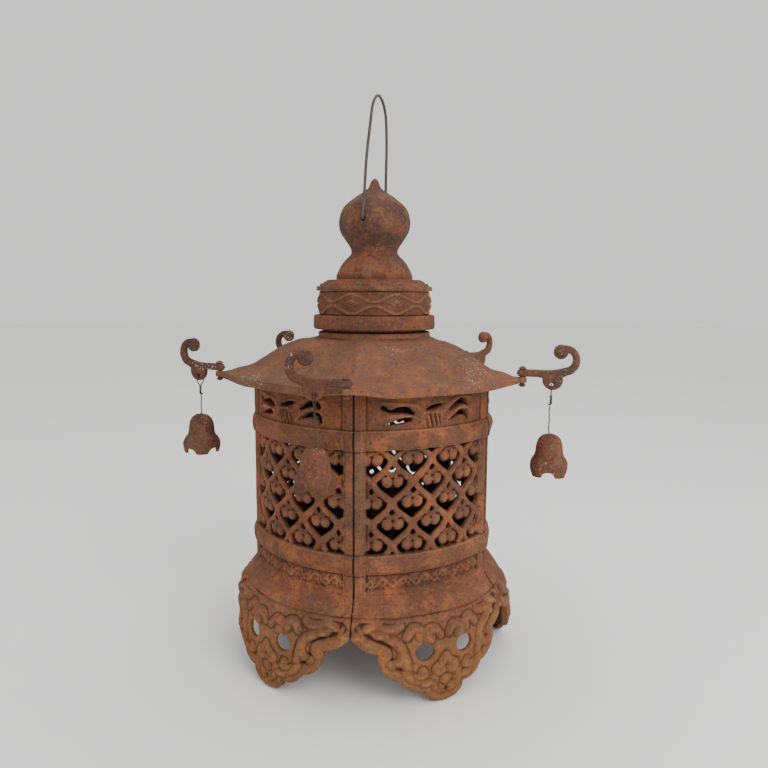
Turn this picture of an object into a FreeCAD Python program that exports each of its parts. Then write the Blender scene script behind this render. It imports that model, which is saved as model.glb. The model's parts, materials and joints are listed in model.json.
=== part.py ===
import FreeCAD, Part
import math
import os

# Five-sided cast-iron hanging lantern with its own feet. Millimetres, +Z up.
# The origin is on the central axis, in the plane that the five foot tips stand on.
# An azimuth is measured round +Z from -Y, so one post stands at azimuth 0, straight in front.

V = FreeCAD.Vector
sides = 5
sector = 360.0 / sides
halfSector = sector / 2

# body wall
postRadius = 88.5        # outer face of the wall at the joint between two panels
panelBulge = 13.9        # how far the wall stands out from the chord between two posts
wall = 4.5
jointGap = 0.5           # crack left between neighbouring panels
ribWidth = 7.5
ribProud = 1.5
ribBottom = 69.0
panelTop = 208.0
wallBottom = 68.0
upperBandDrop = 32.0     # middle of the upper band below the wall's top
lowerBand = 92.0
bandHeight = 13.5
bandProud = 3.2
beadHeight = 72.8
beadRadius = 0.9

# feet and the skirt above them
skirtWall = 4.5
skirtTop = 76.0
grooveHeight = 58.9
grooveDepth = 0.9
tipHalfWidth = 5.0
lobeSpan = 52.0          # half-width of panel that the foot's lobes are drawn for
cuspReach = 10.0
cuspHeight = 50.5
footHoleX = 15.6
footHoleZ = 36.8
footHoleHalfWidth = 6.7
footHoleHalfHeight = 5.7

# heart lattice and frieze
heartPitch = 28.8
rowPitch = 14.5
latticeMargin = 1.1      # solid strip between the lattice and a rib
latticeEdge = 0.3        # the same at the bands
latticeTop = 7.8         # middle of the top row below the upper band
latticeBar = 4.0
friezeDrop = 14.5        # middle of the frieze below the wall's top

# door in the rear panel
doorSideGap = 1.1
doorEndGap = 0.6
doorFrame = 4.0
doorPinInset = 3.0
doorPinRadius = 1.2
doorPinReach = 4.2
runningGap = 0.06
latchPivotRadius = 1.0
latchThick = 1.5
latchWidth = 4.6
latchLength = 11.0
latchHeight = 134.0
latchGap = 0.3
latchHead = 1.2
jambInset = 0.5          # doorway's edge in from the rib
strikeWidth = 4.8
strikeDepth = 5.0
strikeHeight = 8.0
strikeOffset = 5.6       # strike pad's far edge beyond the rib

# fire pan, pricket cup and tie rods
ledgeReach = 9.5         # ledge's inner edge in from the post radius
ledgeHeight = 66.0
ledgeThick = 3.0
panInset = 2.5           # fire pan's rim in from the post radius
panThick = 3.0
ventRadius = 4.0
ventCircle = 45.0
rodInset = 14.5          # rods in from the post radius
rodRadius = 2.5
nutAcross = 9.0
nutHeight = 4.0
fixedGap = 0.05
cupRadius = 17.0
cupHeight = 22.0
cupWall = 1.6
cupFoot = 12.0
spikeRadius = 2.0
spikeHeight = 34.0

# roof
roofWall = 3.0
eaveReach = 29.3         # eave's corner beyond the post radius
eaveRise = 5.4           # heights from here on are above the wall's top
eaveDepth = 6.2
eaveRim = 4.0
crownRise = 31.0         # roof's outer skin where it meets the flange
flangeRadius = 42.0
flangeSink = 0.2         # flange's lower face below the crown
flangeHeight = 4.0
chimneyRadius = 30.0
seatInset = 8.5          # seat ring that lies on the panels, in and out from the post radius
seatOutset = 2.5
bossRadius = 5.5
rodThread = 9.0          # length of rod screwed into a boss

# stacked collar and finial
ringRadius = 45.7
ringGap = 2.0            # spigot between the flange and the ring
ringHeight = 10.4
spigotRadius = 36.8
collarBore = 36.0
reliefHeight = 17.6
bandWaist = 41.4
bandBelly = 43.2
capRadius = 43.3
capHeight = 8.3
capLip = 4.0             # underside of the cap's plate above its rim
baseHeight = 20.6
neckRadius = 17.3        # waist between base and jewel
jewelHeight = 53.6
jewelRadius = 26.6
jewelHollow = 20.5
jewelMiddleRise = 22.1   # bail's axis above the base
webDrop = 15.0           # solid floor of the jewel below the bail's axis
studRadius = 4.0
studGap = 0.3
studNutAcross = 13.0
studNutHeight = 6.5
studEnd = 2.5            # bare thread left below the nut
bridgeWidth = 18.0
bridgeThick = 4.0
bridgeLap = 3.5          # bridge's ends beyond the chimney

# bail
bailRadius = 1.05
bailHoleGap = 0.1
bailSideGap = 1.9
bailHeight = 89.5        # top of the loop above its axis
bailArc = 18.5
bailAzimuth = -9.4
bailLean = -2.3
bailTail = 18.0
bailBend = 2.0

# scroll brackets
rivetInset = 2.8         # rivets in from the eave's corner
rivetRadius = 1.6
rivetHead = 2.7
rivetHeadHeight = 1.8
rivetBoss = 4.9
seatRise = 0.9           # bracket's seat above the eave
bracketLift = 0.3
bracketThick = 5.0
barHeight = 5.2
barTail = 3.9
scrollX = 28.0
scrollZ = 12.4
scrollOuter = 10.7
scrollInner = 5.4
knobX = 25.6
knobZ = 17.8
knobRadius = 5.0
lugX = 20.7
lugZ = -1.6
lugRadius = 7.0
wireHoleX = 19.9
wireHoleZ = -5.0
wireHoleGap = 0.85
bracketYaw = [-92, 11, 1, 44, -41]    # turn of each bracket from straight out, by corner

# bells and their wires
wireRadius = 0.45
wireSideGap = 0.9        # wire's middle beyond the bracket's face
wireDrop = 4.6           # straight part that passes the bracket's lug
wireFork = 8.2
wireLengths = [32.5, 34.5, 30.0, 30.0, 29.0]    # from the bracket's hole to the bell's top
bellRadius = 9.0
bellFlareOut = 4.4
bellHeight = 29.0
bellWall = 1.6
bellWaist = 16.5
bellShoulder = 20.5
bellHoleGap = 0.75
bellNotchRadius = 4.6
bellNotchRise = 4.0
wireKnobLap = 0.1        # knob's radius beyond the bell's hole
wireKnobGap = 0.8

# ---- sizes and places that follow from the ones above ----
halfAngle = math.radians(halfSector)
panelMidRadius = postRadius * math.cos(halfAngle) + panelBulge
upperBand = panelTop - upperBandDrop
friezeHeight = panelTop - friezeDrop
ledgeInner = postRadius - ledgeReach
panRadius = postRadius - panInset
rodCircle = postRadius - rodInset
seatInner = postRadius - seatInset
seatOuter = postRadius + seatOutset
eaveCorner = postRadius + eaveReach
eaveTop = panelTop + eaveRise
eaveBottom = eaveTop - eaveDepth
roofCrown = panelTop + crownRise
flangeBottom = roofCrown - flangeSink
flangeTop = roofCrown + flangeHeight
ringBottom = flangeTop + ringGap
ringTop = ringBottom + ringHeight
bandTop = ringTop + reliefHeight
capTop = bandTop + capHeight
baseTop = capTop + baseHeight
jewelMiddle = baseTop + jewelMiddleRise
webTop = jewelMiddle - webDrop
bridgeReach = chimneyRadius + bridgeLap
bailTop = jewelMiddle + bailHeight
bailHalfWidth = jewelRadius + bailSideGap
rivetCircle = eaveCorner - rivetInset
bracketSeat = eaveTop + seatRise
wireSpread = bracketThick / 2 + wireSideGap
wireHoleRadius = wireRadius + wireHoleGap
bellFlare = bellRadius + bellFlareOut
bellHoleRadius = wireRadius + bellHoleGap
wireKnob = bellHoleRadius + wireKnobLap

os.makedirs("parts", exist_ok=True)


def export(name, shape):
    shape = shape.removeSplitter()
    shape.exportStep("parts/" + name + ".step")
    print(name, "solids", len(shape.Solids), "valid", shape.isValid(), "volume", round(shape.Volume))


def turned(shape, azimuth):
    copy = shape.copy()
    copy.rotate(V(0, 0, 0), V(0, 0, 1), azimuth)
    return copy


def around(azimuth, radius, z):
    a = math.radians(azimuth)
    return V(radius * math.sin(a), -radius * math.cos(a), z)


def cylinder(radius, z0, z1, x=0.0, y=0.0):
    return Part.makeCylinder(radius, z1 - z0, V(x, y, z0))


def tube(inner, outer, z0, z1):
    return cylinder(outer, z0, z1).cut(cylinder(inner, z0 - 1, z1 + 1))


def lathe(points):
    # closed (radius, z) outline turned about the central axis
    wire = Part.makePolygon([V(r, 0, z) for r, z in points + points[:1]])
    return Part.Face(wire).revolve(V(0, 0, 0), V(0, 0, 1), 360)


def splineEdge(points):
    curve = Part.BSplineCurve()
    curve.interpolate(points)
    return curve.toShape()


def fused(shapes):
    return shapes[0].fuse(shapes[1:]) if len(shapes) > 1 else shapes[0]


# ---- plan of one panel: a wall on an arc that is flatter than the circle of the posts ----
chordHalf = postRadius * math.sin(halfAngle)
sagitta = panelMidRadius - postRadius * math.cos(halfAngle)
arcRadius = (chordHalf ** 2 + sagitta ** 2) / (2 * sagitta)
arcCentreY = arcRadius - panelMidRadius
ribEdgeX = chordHalf - ribWidth * math.cos(halfAngle)
ribEdge = arcRadius * math.asin(ribEdgeX / arcRadius)     # along the wall, from the panel's middle
zoneBottom = lowerBand + bandHeight / 2
zoneTop = upperBand - bandHeight / 2


def onArc(shape, along):
    # moves a shape made at the panel's middle along the wall's arc
    copy = shape.copy()
    copy.rotate(V(0, arcCentreY, 0), V(0, 0, 1), math.degrees(along / arcRadius))
    return copy


def arcPoint(along, depth, z):
    # a point inside the wall, depth below its outer face
    a = along / arcRadius
    r = arcRadius - depth
    return V(r * math.sin(a), arcCentreY - r * math.cos(a), z)


def arcShell(depth, proud, z0, z1):
    outer = cylinder(arcRadius + proud, z0, z1, 0, arcCentreY)
    return outer.cut(cylinder(arcRadius - depth, z0 - 1, z1 + 1, 0, arcCentreY))


def wedge(gap):
    # the room between the two joint planes, half the crack inside each
    reach = 3 * postRadius
    corners = [V(0, 0, -10), around(-halfSector, reach, -10), around(halfSector, reach, -10)]
    prism = Part.Face(Part.makePolygon(corners + corners[:1])).extrude(V(0, 0, 2 * panelTop))
    prism.translate(V(0, -gap / 2 / math.sin(halfAngle), 0))
    return prism


def arcWindow(halfLength, z0, z1):
    # a block through the wall, bounded by two planes square to it
    block = Part.makeBox(4 * chordHalf, 3 * wall + 30, z1 - z0, V(-2 * chordHalf, -postRadius - 20, z0))
    for side in (-1, 1):
        keep = Part.makeBox(4 * chordHalf, 400, z1 - z0 + 2, V(0, -300, z0 - 1))
        if side > 0:
            keep.translate(V(-4 * chordHalf, 0, 0))
        block = block.common(onArc(keep, side * halfLength))
    return block


def ribBox(z0, z1, inward, outward, width):
    box = Part.makeBox(width, outward - inward, z1 - z0, V(-width, -outward, z0))
    right = turned(box, halfSector)
    return [right, right.mirror(V(0, 0, 0), V(1, 0, 0))]


def halfRound(radius, centreY, z, height, proud):
    # a moulding of half-oval section, bent about a vertical axis
    half = height / 2
    base = radius - wall / 2
    points = [V(base, 0, z - half), V(radius, 0, z - half)]
    rim = Part.Arc(points[1], V(radius + proud, 0, z), V(radius, 0, z + half)).toShape()
    top = V(base, 0, z + half)
    edges = [Part.makeLine(points[0], points[1]), rim, Part.makeLine(V(radius, 0, z + half), top)]
    edges.append(Part.makeLine(top, points[0]))
    face = Part.Face(Part.Wire(edges))
    solid = face.revolve(V(0, 0, 0), V(0, 0, 1), 360)
    solid.translate(V(0, centreY, 0))
    return solid


def skirtShell():
    # the flare under the wall and the bulging ring that the feet are cut from
    outline = [(postRadius - 1.0, skirtTop), (postRadius + 0.8, beadHeight), (postRadius + 4.4, 66.8),
               (postRadius + 7.8, 61.6), (postRadius + 11.6, 55.5), (postRadius + 14.2, 49.5),
               (postRadius + 16.1, 42.0), (postRadius + 17.2, 27.8), (postRadius + 16.9, 12.0),
               (postRadius + 16.1, 0.0)]
    outer = [V(r, 0, z) for r, z in outline]
    inner = [V(r - skirtWall, 0, z) for r, z in outline]
    edges = [splineEdge(outer), Part.makeLine(outer[-1], inner[-1]), splineEdge(inner[::-1])]
    edges.append(Part.makeLine(inner[0], outer[0]))
    return Part.Face(Part.Wire(edges)).revolve(V(0, 0, 0), V(0, 0, 1), 360)


def footOutline():
    # lobed lower edge of one panel, seen square on: cusp at the joint, three lobes, then the tip
    cuspX = chordHalf + cuspReach
    k = chordHalf / lobeSpan
    cusps = [(cuspX, cuspHeight), (45.9 * k, 38.0), (31.6 * k, 18.5), (15.0 * k, 10.0), (tipHalfWidth, 0.0)]
    rounds = [(55.5 * k, 41.6), (42.5 * k, 24.6), (25.8 * k, 11.8), (11.8 * k, 3.2)]
    lobes = list(zip(cusps, rounds, cusps[1:]))
    edges = []
    for a, b, c in lobes:
        edges.append(Part.Arc(V(a[0], 0, a[1]), V(b[0], 0, b[1]), V(c[0], 0, c[1])).toShape())
    edges.append(Part.makeLine(V(tipHalfWidth, 0, 0), V(-tipHalfWidth, 0, 0)))
    for a, b, c in reversed(lobes):
        edges.append(Part.Arc(V(-c[0], 0, c[1]), V(-b[0], 0, b[1]), V(-a[0], 0, a[1])).toShape())
    top = skirtTop + 20
    corners = [V(-cuspX, 0, cuspHeight), V(-cuspX, 0, top), V(cuspX, 0, top), V(cuspX, 0, cuspHeight)]
    for start, end in zip(corners, corners[1:]):
        edges.append(Part.makeLine(start, end))
    face = Part.Face(Part.Wire(edges))
    face.translate(V(0, -postRadius / 2, 0))
    return face.extrude(V(0, -2 * postRadius, 0))


def ovalCutter(x, z, halfWidth, halfHeight):
    ring = Part.Ellipse(V(0, 0, 0), halfWidth, halfHeight).toShape()
    face = Part.Face(Part.Wire([ring]))
    face.rotate(V(0, 0, 0), V(1, 0, 0), 90)
    face.translate(V(x, -postRadius / 2, z))
    return face.extrude(V(0, -2 * postRadius, 0))


def disc(x, z, radius):
    return Part.Face(Part.Wire([Part.makeCircle(radius, V(x, 0, z), V(0, 1, 0))]))


def flatPolygon(points):
    corners = [V(x, 0, z) for x, z in points]
    return Part.Face(Part.makePolygon(corners + corners[:1]))


def heartHole():
    # the see-through part of one heart: two lobes and a point, less the two curled ends
    half = heartPitch / 2 - latticeBar * 0.95
    lobe = half * 0.48
    drop = rowPitch * 0.61
    body = [disc(x, rowPitch * 0.16, lobe) for x in (half - lobe, lobe - half)]
    body.append(flatPolygon([(half * 0.97, rowPitch * 0.07), (0, -drop), (-half * 0.97, rowPitch * 0.07)]))
    curl = lobe * 0.62
    curls = [disc(x, rowPitch * 0.28, curl) for x in (curl * 0.98, -curl * 0.98)]
    curls.append(flatPolygon([(curl, rowPitch * 0.3), (curl, rowPitch), (-curl, rowPitch), (-curl, rowPitch * 0.3)]))
    return fused(body).cut(fused(curls)).removeSplitter()


def gapHole():
    w = latticeBar * 0.75
    h = latticeBar * 0.85
    return flatPolygon([(w, 0), (0, h), (-w, 0), (0, -h)])


def latticeCutters(halfLength, z0, z1):
    depth = 3 * wall
    cutters = []
    heart = heartHole()
    gap = gapHole()
    top = zoneTop - latticeTop
    rows = math.ceil((zoneTop - zoneBottom) / rowPitch)
    columns = math.ceil(halfLength / heartPitch)
    for row in range(rows):
        z = top - row * rowPitch
        shift = 0.5 if row % 2 == 0 else 0.0
        for column in range(-columns, columns + 1):
            for shape, offset, drop in ((heart, 0.0, 0.0), (gap, 0.5, -rowPitch * 0.18)):
                along = (column + shift + offset) * heartPitch
                if abs(along) > halfLength + heartPitch / 2:
                    continue
                face = shape.copy()
                face.translate(V(0, 0, z + drop))
                low, high = -halfLength - along, halfLength - along
                frame = flatPolygon([(low, z0), (high, z0), (high, z1), (low, z1)])
                face = face.common(frame)
                if face.Area < 3.0:
                    continue
                face.translate(V(0, -panelMidRadius + depth / 2, 0))
                cutters += [onArc(s, along) for s in face.extrude(V(0, -depth, 0)).Solids]
    return cutters


def leafCutter(along, z, length, height, slope):
    a = V(-length / 2, 0, -slope / 2)
    b = V(length / 2, 0, slope / 2)
    upper = Part.Arc(a, V(0, 0, height), b).toShape()
    lower = Part.Arc(b, V(0, 0, -height * 0.25), a).toShape()
    face = Part.Face(Part.Wire([upper, lower]))
    face.translate(V(0, -panelMidRadius + 1.5 * wall, z))
    return onArc(face.extrude(V(0, -3 * wall, 0)), along)


def friezeCutters():
    cutters = []
    for side in (-1, 1):
        cutters.append(leafCutter(side * 26, friezeHeight + 2.6, 20, 2.8, side * 3.5))
        cutters.append(leafCutter(side * 24, friezeHeight - 5.6, 19, 2.4, -side * 2.0))
        cutters.append(leafCutter(side * 9, friezeHeight + 4.4, 10, 1.8, side * 1.5))
    return cutters


def panelBlank():
    # one casting: wall, two ribs, mouldings, skirt, foot and the ledge for the fire pan
    pieces = [arcShell(wall, 0, wallBottom, panelTop)]
    pieces += ribBox(ribBottom, panelTop, postRadius - wall, postRadius + ribProud, ribWidth)
    for z in (upperBand, lowerBand):
        pieces.append(halfRound(arcRadius, arcCentreY, z, bandHeight, bandProud))
        collar = halfRound(postRadius + ribProud, 0, z, bandHeight, bandProud)
        ends = ribBox(z - bandHeight, z + bandHeight, postRadius - wall, postRadius + 12, ribWidth + 1)
        pieces.append(collar.common(fused(ends)))
    bead = halfRound(arcRadius, arcCentreY, beadHeight, 2 * beadRadius, beadRadius)
    pieces.append(bead)
    pieces.append(tube(ledgeInner, postRadius + 1.0, ledgeHeight, ledgeHeight + ledgeThick))
    blank = fused(pieces).common(wedge(jointGap))
    skirt = skirtShell().common(footOutline()).common(wedge(jointGap))
    blank = blank.fuse(skirt)
    groove = Part.makeTorus(postRadius + 9.1 + grooveDepth * 0.2, grooveDepth, V(0, 0, grooveHeight))
    holes = [ovalCutter(x, footHoleZ, footHoleHalfWidth, footHoleHalfHeight) for x in (-footHoleX, footHoleX)]
    return blank.cut([groove] + holes + friezeCutters())


def makePanels():
    blank = panelBlank()
    latticeHalf = ribEdge - latticeMargin
    lattice = blank.cut(latticeCutters(latticeHalf, zoneBottom + latticeEdge, zoneTop - latticeEdge))
    names = ["panel_front_right", "panel_right", "panel_rear", "panel_left", "panel_front_left"]
    for index, name in enumerate(names):
        azimuth = halfSector + index * sector
        if name != "panel_rear":
            export(name, turned(lattice, azimuth))
            continue
        opening = arcWindow(ribEdge - jambInset, zoneBottom, zoneTop)
        rear = blank.cut([opening] + doorPins(0.0) + [latchPin()])
        export(name, turned(rear, azimuth))
        makeDoor(azimuth)


def doorPins(gap):
    pins = []
    centre = arcPoint(-(ribEdge - jambInset - doorSideGap - doorPinInset), wall / 2, 0)
    for z0, z1 in ((zoneBottom - doorPinReach, zoneBottom + doorPinReach + gap),
                   (zoneTop - doorPinReach - gap, zoneTop + doorPinReach)):
        pins.append(cylinder(doorPinRadius + gap, z0, z1, centre.x, centre.y))
    return pins


def latchPivot():
    # on the outer face of the rear panel's far rib, half-way across it
    p = V(-ribWidth / 2, -(postRadius + ribProud), latchHeight)
    return FreeCAD.Rotation(V(0, 0, 1), halfSector).multVec(p)


def latchOut():
    return FreeCAD.Rotation(V(0, 0, 1), halfSector).multVec(V(0, -1, 0))


def latchPin():
    out = latchOut()
    reach = ribProud + wall - 1.0
    return Part.makeCylinder(latchPivotRadius, reach, latchPivot() - out * reach, out)


def makeDoor(azimuth):
    low = zoneBottom + doorEndGap
    high = zoneTop - doorEndGap
    halfLength = ribEdge - jambInset - doorSideGap
    door = arcShell(wall, 0, low, high).common(arcWindow(halfLength, low, high))
    door = door.cut(latticeCutters(halfLength - doorFrame, low + doorFrame, high - doorFrame))
    pad = Part.makeBox(strikeWidth, strikeDepth, strikeHeight,
                       V(-ribWidth - strikeOffset, -(postRadius + ribProud) + latchGap,
                         latchHeight - strikeHeight / 2))
    door = door.fuse(turned(pad, halfSector)).cut(doorPins(runningGap))
    export("door", turned(door, azimuth))
    export("door_hinge_pins", turned(Part.Compound(doorPins(0.0)), azimuth))

    out = latchOut()
    seat = latchPivot() + out * latchGap
    shaft = Part.makeCylinder(latchPivotRadius, latchThick + 3 * latchGap, latchPivot(), out)
    head = Part.makeCylinder(2 * latchPivotRadius, latchHead, seat + out * (latchThick + latchGap), out)
    export("latch_rivet", turned(fused([latchPin(), shaft, head]), azimuth))
    lever = Part.makeBox(latchWidth, latchThick, 2 * latchLength, V(-latchWidth / 2, -latchThick, -latchLength))
    for sign in (-1, 1):
        lever = lever.fuse(Part.makeCylinder(latchWidth / 2, latchThick, V(0, -latchThick, sign * latchLength),
                                             V(0, 1, 0)))
    lever = lever.cut(Part.makeCylinder(latchPivotRadius + runningGap, 3 * latchThick, V(0, -2 * latchThick, 0),
                                        V(0, 1, 0)))
    lever = turned(lever, halfSector)
    lever.translate(seat)
    export("door_latch", turned(lever, azimuth))


def hexPrism(across, z0, z1, x, y):
    radius = across / math.sqrt(3)
    corners = [V(x + radius * math.cos(math.radians(60 * i)), y + radius * math.sin(math.radians(60 * i)), z0)
               for i in range(7)]
    return Part.Face(Part.makePolygon(corners)).extrude(V(0, 0, z1 - z0))


def makeFloor():
    panTop = ledgeHeight
    panBottom = panTop - panThick
    rods = []
    nuts = []
    rodHoles = []
    for i in range(sides):
        p = around(i * sector, rodCircle, 0)
        rods.append(cylinder(rodRadius, panBottom - nutHeight - 2, panelTop + rodThread, p.x, p.y))
        nut = hexPrism(nutAcross, panBottom - nutHeight, panBottom, p.x, p.y)
        nuts.append(nut.cut(cylinder(rodRadius, 0, panelTop, p.x, p.y)))
        rodHoles.append(cylinder(rodRadius + fixedGap, panBottom - 1, panTop + 1, p.x, p.y))
    vents = [around(halfSector + i * sector, ventCircle, 0) for i in range(sides)]
    cuts = rodHoles + [cylinder(ventRadius, panBottom - 1, panTop + 1, p.x, p.y) for p in vents]
    cuts.append(cylinder(spikeRadius, panBottom - 1, panTop + 1))
    export("fire_pan", cylinder(panRadius, panBottom, panTop).cut(cuts))
    export("tie_rods", Part.Compound(rods))
    export("tie_rod_nuts", Part.Compound(nuts))

    base = panTop
    cup = lathe([(spikeRadius, base), (cupFoot, base), (cupFoot + 0.4, base + 2), (cupRadius, base + cupHeight),
                 (cupRadius - cupWall, base + cupHeight), (cupFoot - cupWall, base + cupWall),
                 (spikeRadius, base + cupWall)])
    export("candle_cup", cup)
    under = panBottom
    spike = lathe([(0, under - 1.6), (2 * spikeRadius, under - 1.6), (2 * spikeRadius, under),
                   (spikeRadius, under), (spikeRadius, base + cupWall), (2 * spikeRadius, base + cupWall),
                   (2 * spikeRadius, base + cupWall + 1.2), (spikeRadius, base + cupWall + 2.4),
                   (0.4, base + spikeHeight), (0, base + spikeHeight)])
    export("pricket", spike)


def pentagon(radius, z):
    corners = [around(i * sector, radius, z) for i in range(sides + 1)]
    return Part.makePolygon(corners)


def makeRoof():
    # hip line from the collar out to the eave's corner: full near the top, hollow near the eave
    shares = [(0, 0), (0.184, 0.105), (0.331, 0.254), (0.453, 0.457), (0.561, 0.652), (0.653, 0.816),
              (0.770, 0.898), (0.872, 0.957), (1, 1)]
    start = flangeRadius + 2.3
    hip = [(start + out * (eaveCorner - start), roofCrown - down * (roofCrown - eaveTop)) for out, down in shares]
    outer = [pentagon(r, z) for r, z in hip] + [pentagon(eaveCorner, eaveBottom)]
    inner = [pentagon(r - 1.2, z - roofWall) for r, z in hip[:-1]]
    inner += [pentagon(eaveCorner - eaveRim, eaveTop - roofWall), pentagon(eaveCorner - eaveRim, eaveBottom - 1)]
    hull = Part.makeLoft(outer, True, True)
    shell = hull.cut(Part.makeLoft(inner, True, True))
    seat = tube(seatInner, seatOuter, panelTop, flangeTop)
    bosses = []
    drills = []
    for i in range(sides):
        p = around(i * sector, rodCircle, 0)
        bosses.append(cylinder(bossRadius, panelTop, flangeTop, p.x, p.y))
        drills.append(cylinder(rodRadius, panelTop - 1, panelTop + rodThread, p.x, p.y))
        q = around(i * sector, rivetCircle, 0)
        bosses.append(cylinder(rivetBoss, eaveBottom + rivetHeadHeight, eaveTop, q.x, q.y))
        drills.append(cylinder(rivetRadius, eaveBottom - 1, flangeTop, q.x, q.y))
        drills.append(cylinder(rivetHead, eaveBottom - 1, eaveBottom + rivetHeadHeight, q.x, q.y))
    inside = fused([seat] + bosses).common(hull)
    pads = []
    for i in range(sides):
        q = around(i * sector, rivetCircle, 0)
        pads.append(cylinder(rivetHead, eaveBottom + rivetHeadHeight, bracketSeat, q.x, q.y))
    flange = cylinder(flangeRadius, flangeBottom, flangeTop)
    roof = fused([shell, inside, flange] + pads)
    bore = cylinder(chimneyRadius, panelTop + 1, flangeTop + 1)
    export("roof", roof.cut([bore] + drills))


def makeCollar():
    stud = cylinder(studRadius + studGap, flangeBottom, webTop)
    neck = lathe([(chimneyRadius, flangeTop), (spigotRadius, flangeTop), (spigotRadius, ringBottom),
                  (ringRadius, ringBottom), (ringRadius, ringTop), (collarBore, ringTop),
                  (chimneyRadius, ringBottom)])
    export("neck_ring", neck)
    wires = [V(bandWaist, 0, ringTop), V(bandBelly, 0, (ringTop + bandTop) / 2), V(bandWaist, 0, bandTop)]
    edges = [Part.Arc(wires[0], wires[1], wires[2]).toShape(), Part.makeLine(wires[2], V(collarBore, 0, bandTop)),
             Part.makeLine(V(collarBore, 0, bandTop), V(collarBore, 0, ringTop)),
             Part.makeLine(V(collarBore, 0, ringTop), wires[0])]
    export("relief_band", Part.Face(Part.Wire(edges)).revolve(V(0, 0, 0), V(0, 0, 1), 360))
    capBore = collarBore - 1
    cap = lathe([(0, bandTop + capLip), (capBore, bandTop + capLip), (capBore, bandTop), (capRadius, bandTop),
                 (capRadius, capTop - 4.9), (capRadius - 2.9, capTop - 3.0), (capRadius - 4.7, capTop - 2.4),
                 (capRadius - 7.4, capTop - 0.8), (capRadius - 9.8, capTop), (0, capTop)])
    export("stepped_cap", cap.cut(stud))
    base = lathe([(0, capTop), (28.7, capTop), (28.4, capTop + 4.0), (27.0, capTop + 6.7), (24.2, capTop + 12.2),
                  (neckRadius + 1.9, baseTop - 3.0), (neckRadius, baseTop), (0, baseTop)])
    hollow = lathe([(0, capTop - 1), (24.0, capTop - 1), (22.0, capTop + 6), (12.0, capTop + 14),
                    (0, capTop + 14)])
    export("finial_base", base.cut([hollow, stud]))

    outline = [(neckRadius, 0.0), (neckRadius + 0.6, 2.6), (jewelRadius - 4.7, 8.7), (jewelRadius - 0.9, 15.4),
               (jewelRadius, 22.5), (jewelRadius - 3.2, 31.7), (jewelRadius - 11.2, 38.9),
               (7.9, 44.3), (3.2, 48.7), (0, jewelHeight)]
    profile = [V(r, 0, baseTop + z) for r, z in outline]
    edges = [splineEdge(profile), Part.makeLine(profile[-1], V(0, 0, baseTop)),
             Part.makeLine(V(0, 0, baseTop), profile[0])]
    jewel = Part.Face(Part.Wire(edges)).revolve(V(0, 0, 0), V(0, 0, 1), 360)
    hollow = Part.makeSphere(jewelHollow, V(0, 0, jewelMiddle))
    hollow = hollow.cut(cylinder(jewelHollow, webTop - 2 * jewelHollow, webTop))
    along = around(bailAzimuth, 1.0, 0)
    holes = Part.makeCylinder(bailRadius + bailHoleGap, 80, V(0, 0, jewelMiddle) - along * 40, along)
    export("finial_jewel", jewel.cut([hollow, holes, cylinder(studRadius, baseTop - 1, webTop - 1)]))

    bridgeTop = roofCrown - roofWall
    bridgeBottom = bridgeTop - bridgeThick
    bridge = Part.makeBox(2 * bridgeReach, bridgeWidth, bridgeThick, V(-bridgeReach, -bridgeWidth / 2, bridgeBottom))
    export("stud_bridge", bridge.cut(cylinder(studRadius + studGap, bridgeBottom - 1, bridgeTop + 1)))
    nut = hexPrism(studNutAcross, bridgeBottom - studNutHeight, bridgeBottom, 0, 0)
    export("stud_nut", nut.cut(cylinder(studRadius, bridgeBottom - 10, bridgeTop)))
    export("finial_stud", cylinder(studRadius, bridgeBottom - studNutHeight - studEnd, webTop - 1))


def makeBail():
    slope = math.atan((bailHalfWidth - bailArc) / (bailTop - bailArc - jewelMiddle))
    centre = bailTop - bailArc
    shoulder = V(bailArc * math.cos(slope), 0, centre + bailArc * math.sin(slope))
    drop = shoulder.z - jewelMiddle
    corner = V(shoulder.x + drop * math.tan(slope), 0, jewelMiddle)
    turn = math.pi / 2 - slope
    setback = bailBend * math.tan(turn / 2)
    legEnd = corner + V(-math.sin(slope), 0, math.cos(slope)) * setback
    tailStart = corner - V(setback, 0, 0)
    centreBend = tailStart + V(0, 0, bailBend)
    middle = centreBend + V(math.sin(turn / 2), 0, -math.cos(turn / 2)) * bailBend

    def mirrored(p):
        return V(-p.x, p.y, p.z)

    tip = V(bailTail, 0, jewelMiddle)
    edges = [Part.makeLine(tip, tailStart), Part.Arc(tailStart, middle, legEnd).toShape(),
             Part.makeLine(legEnd, shoulder), Part.Arc(shoulder, V(0, 0, bailTop), mirrored(shoulder)).toShape(),
             Part.makeLine(mirrored(shoulder), mirrored(legEnd)),
             Part.Arc(mirrored(legEnd), mirrored(middle), mirrored(tailStart)).toShape(),
             Part.makeLine(mirrored(tailStart), mirrored(tip))]
    ring = Part.Wire([Part.makeCircle(bailRadius, tip, V(1, 0, 0))])
    bail = Part.Wire(edges).makePipeShell([ring], True, False)
    bail.rotate(V(0, 0, jewelMiddle), V(1, 0, 0), bailLean)
    export("bail", turned(bail, bailAzimuth - 90))


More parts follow.
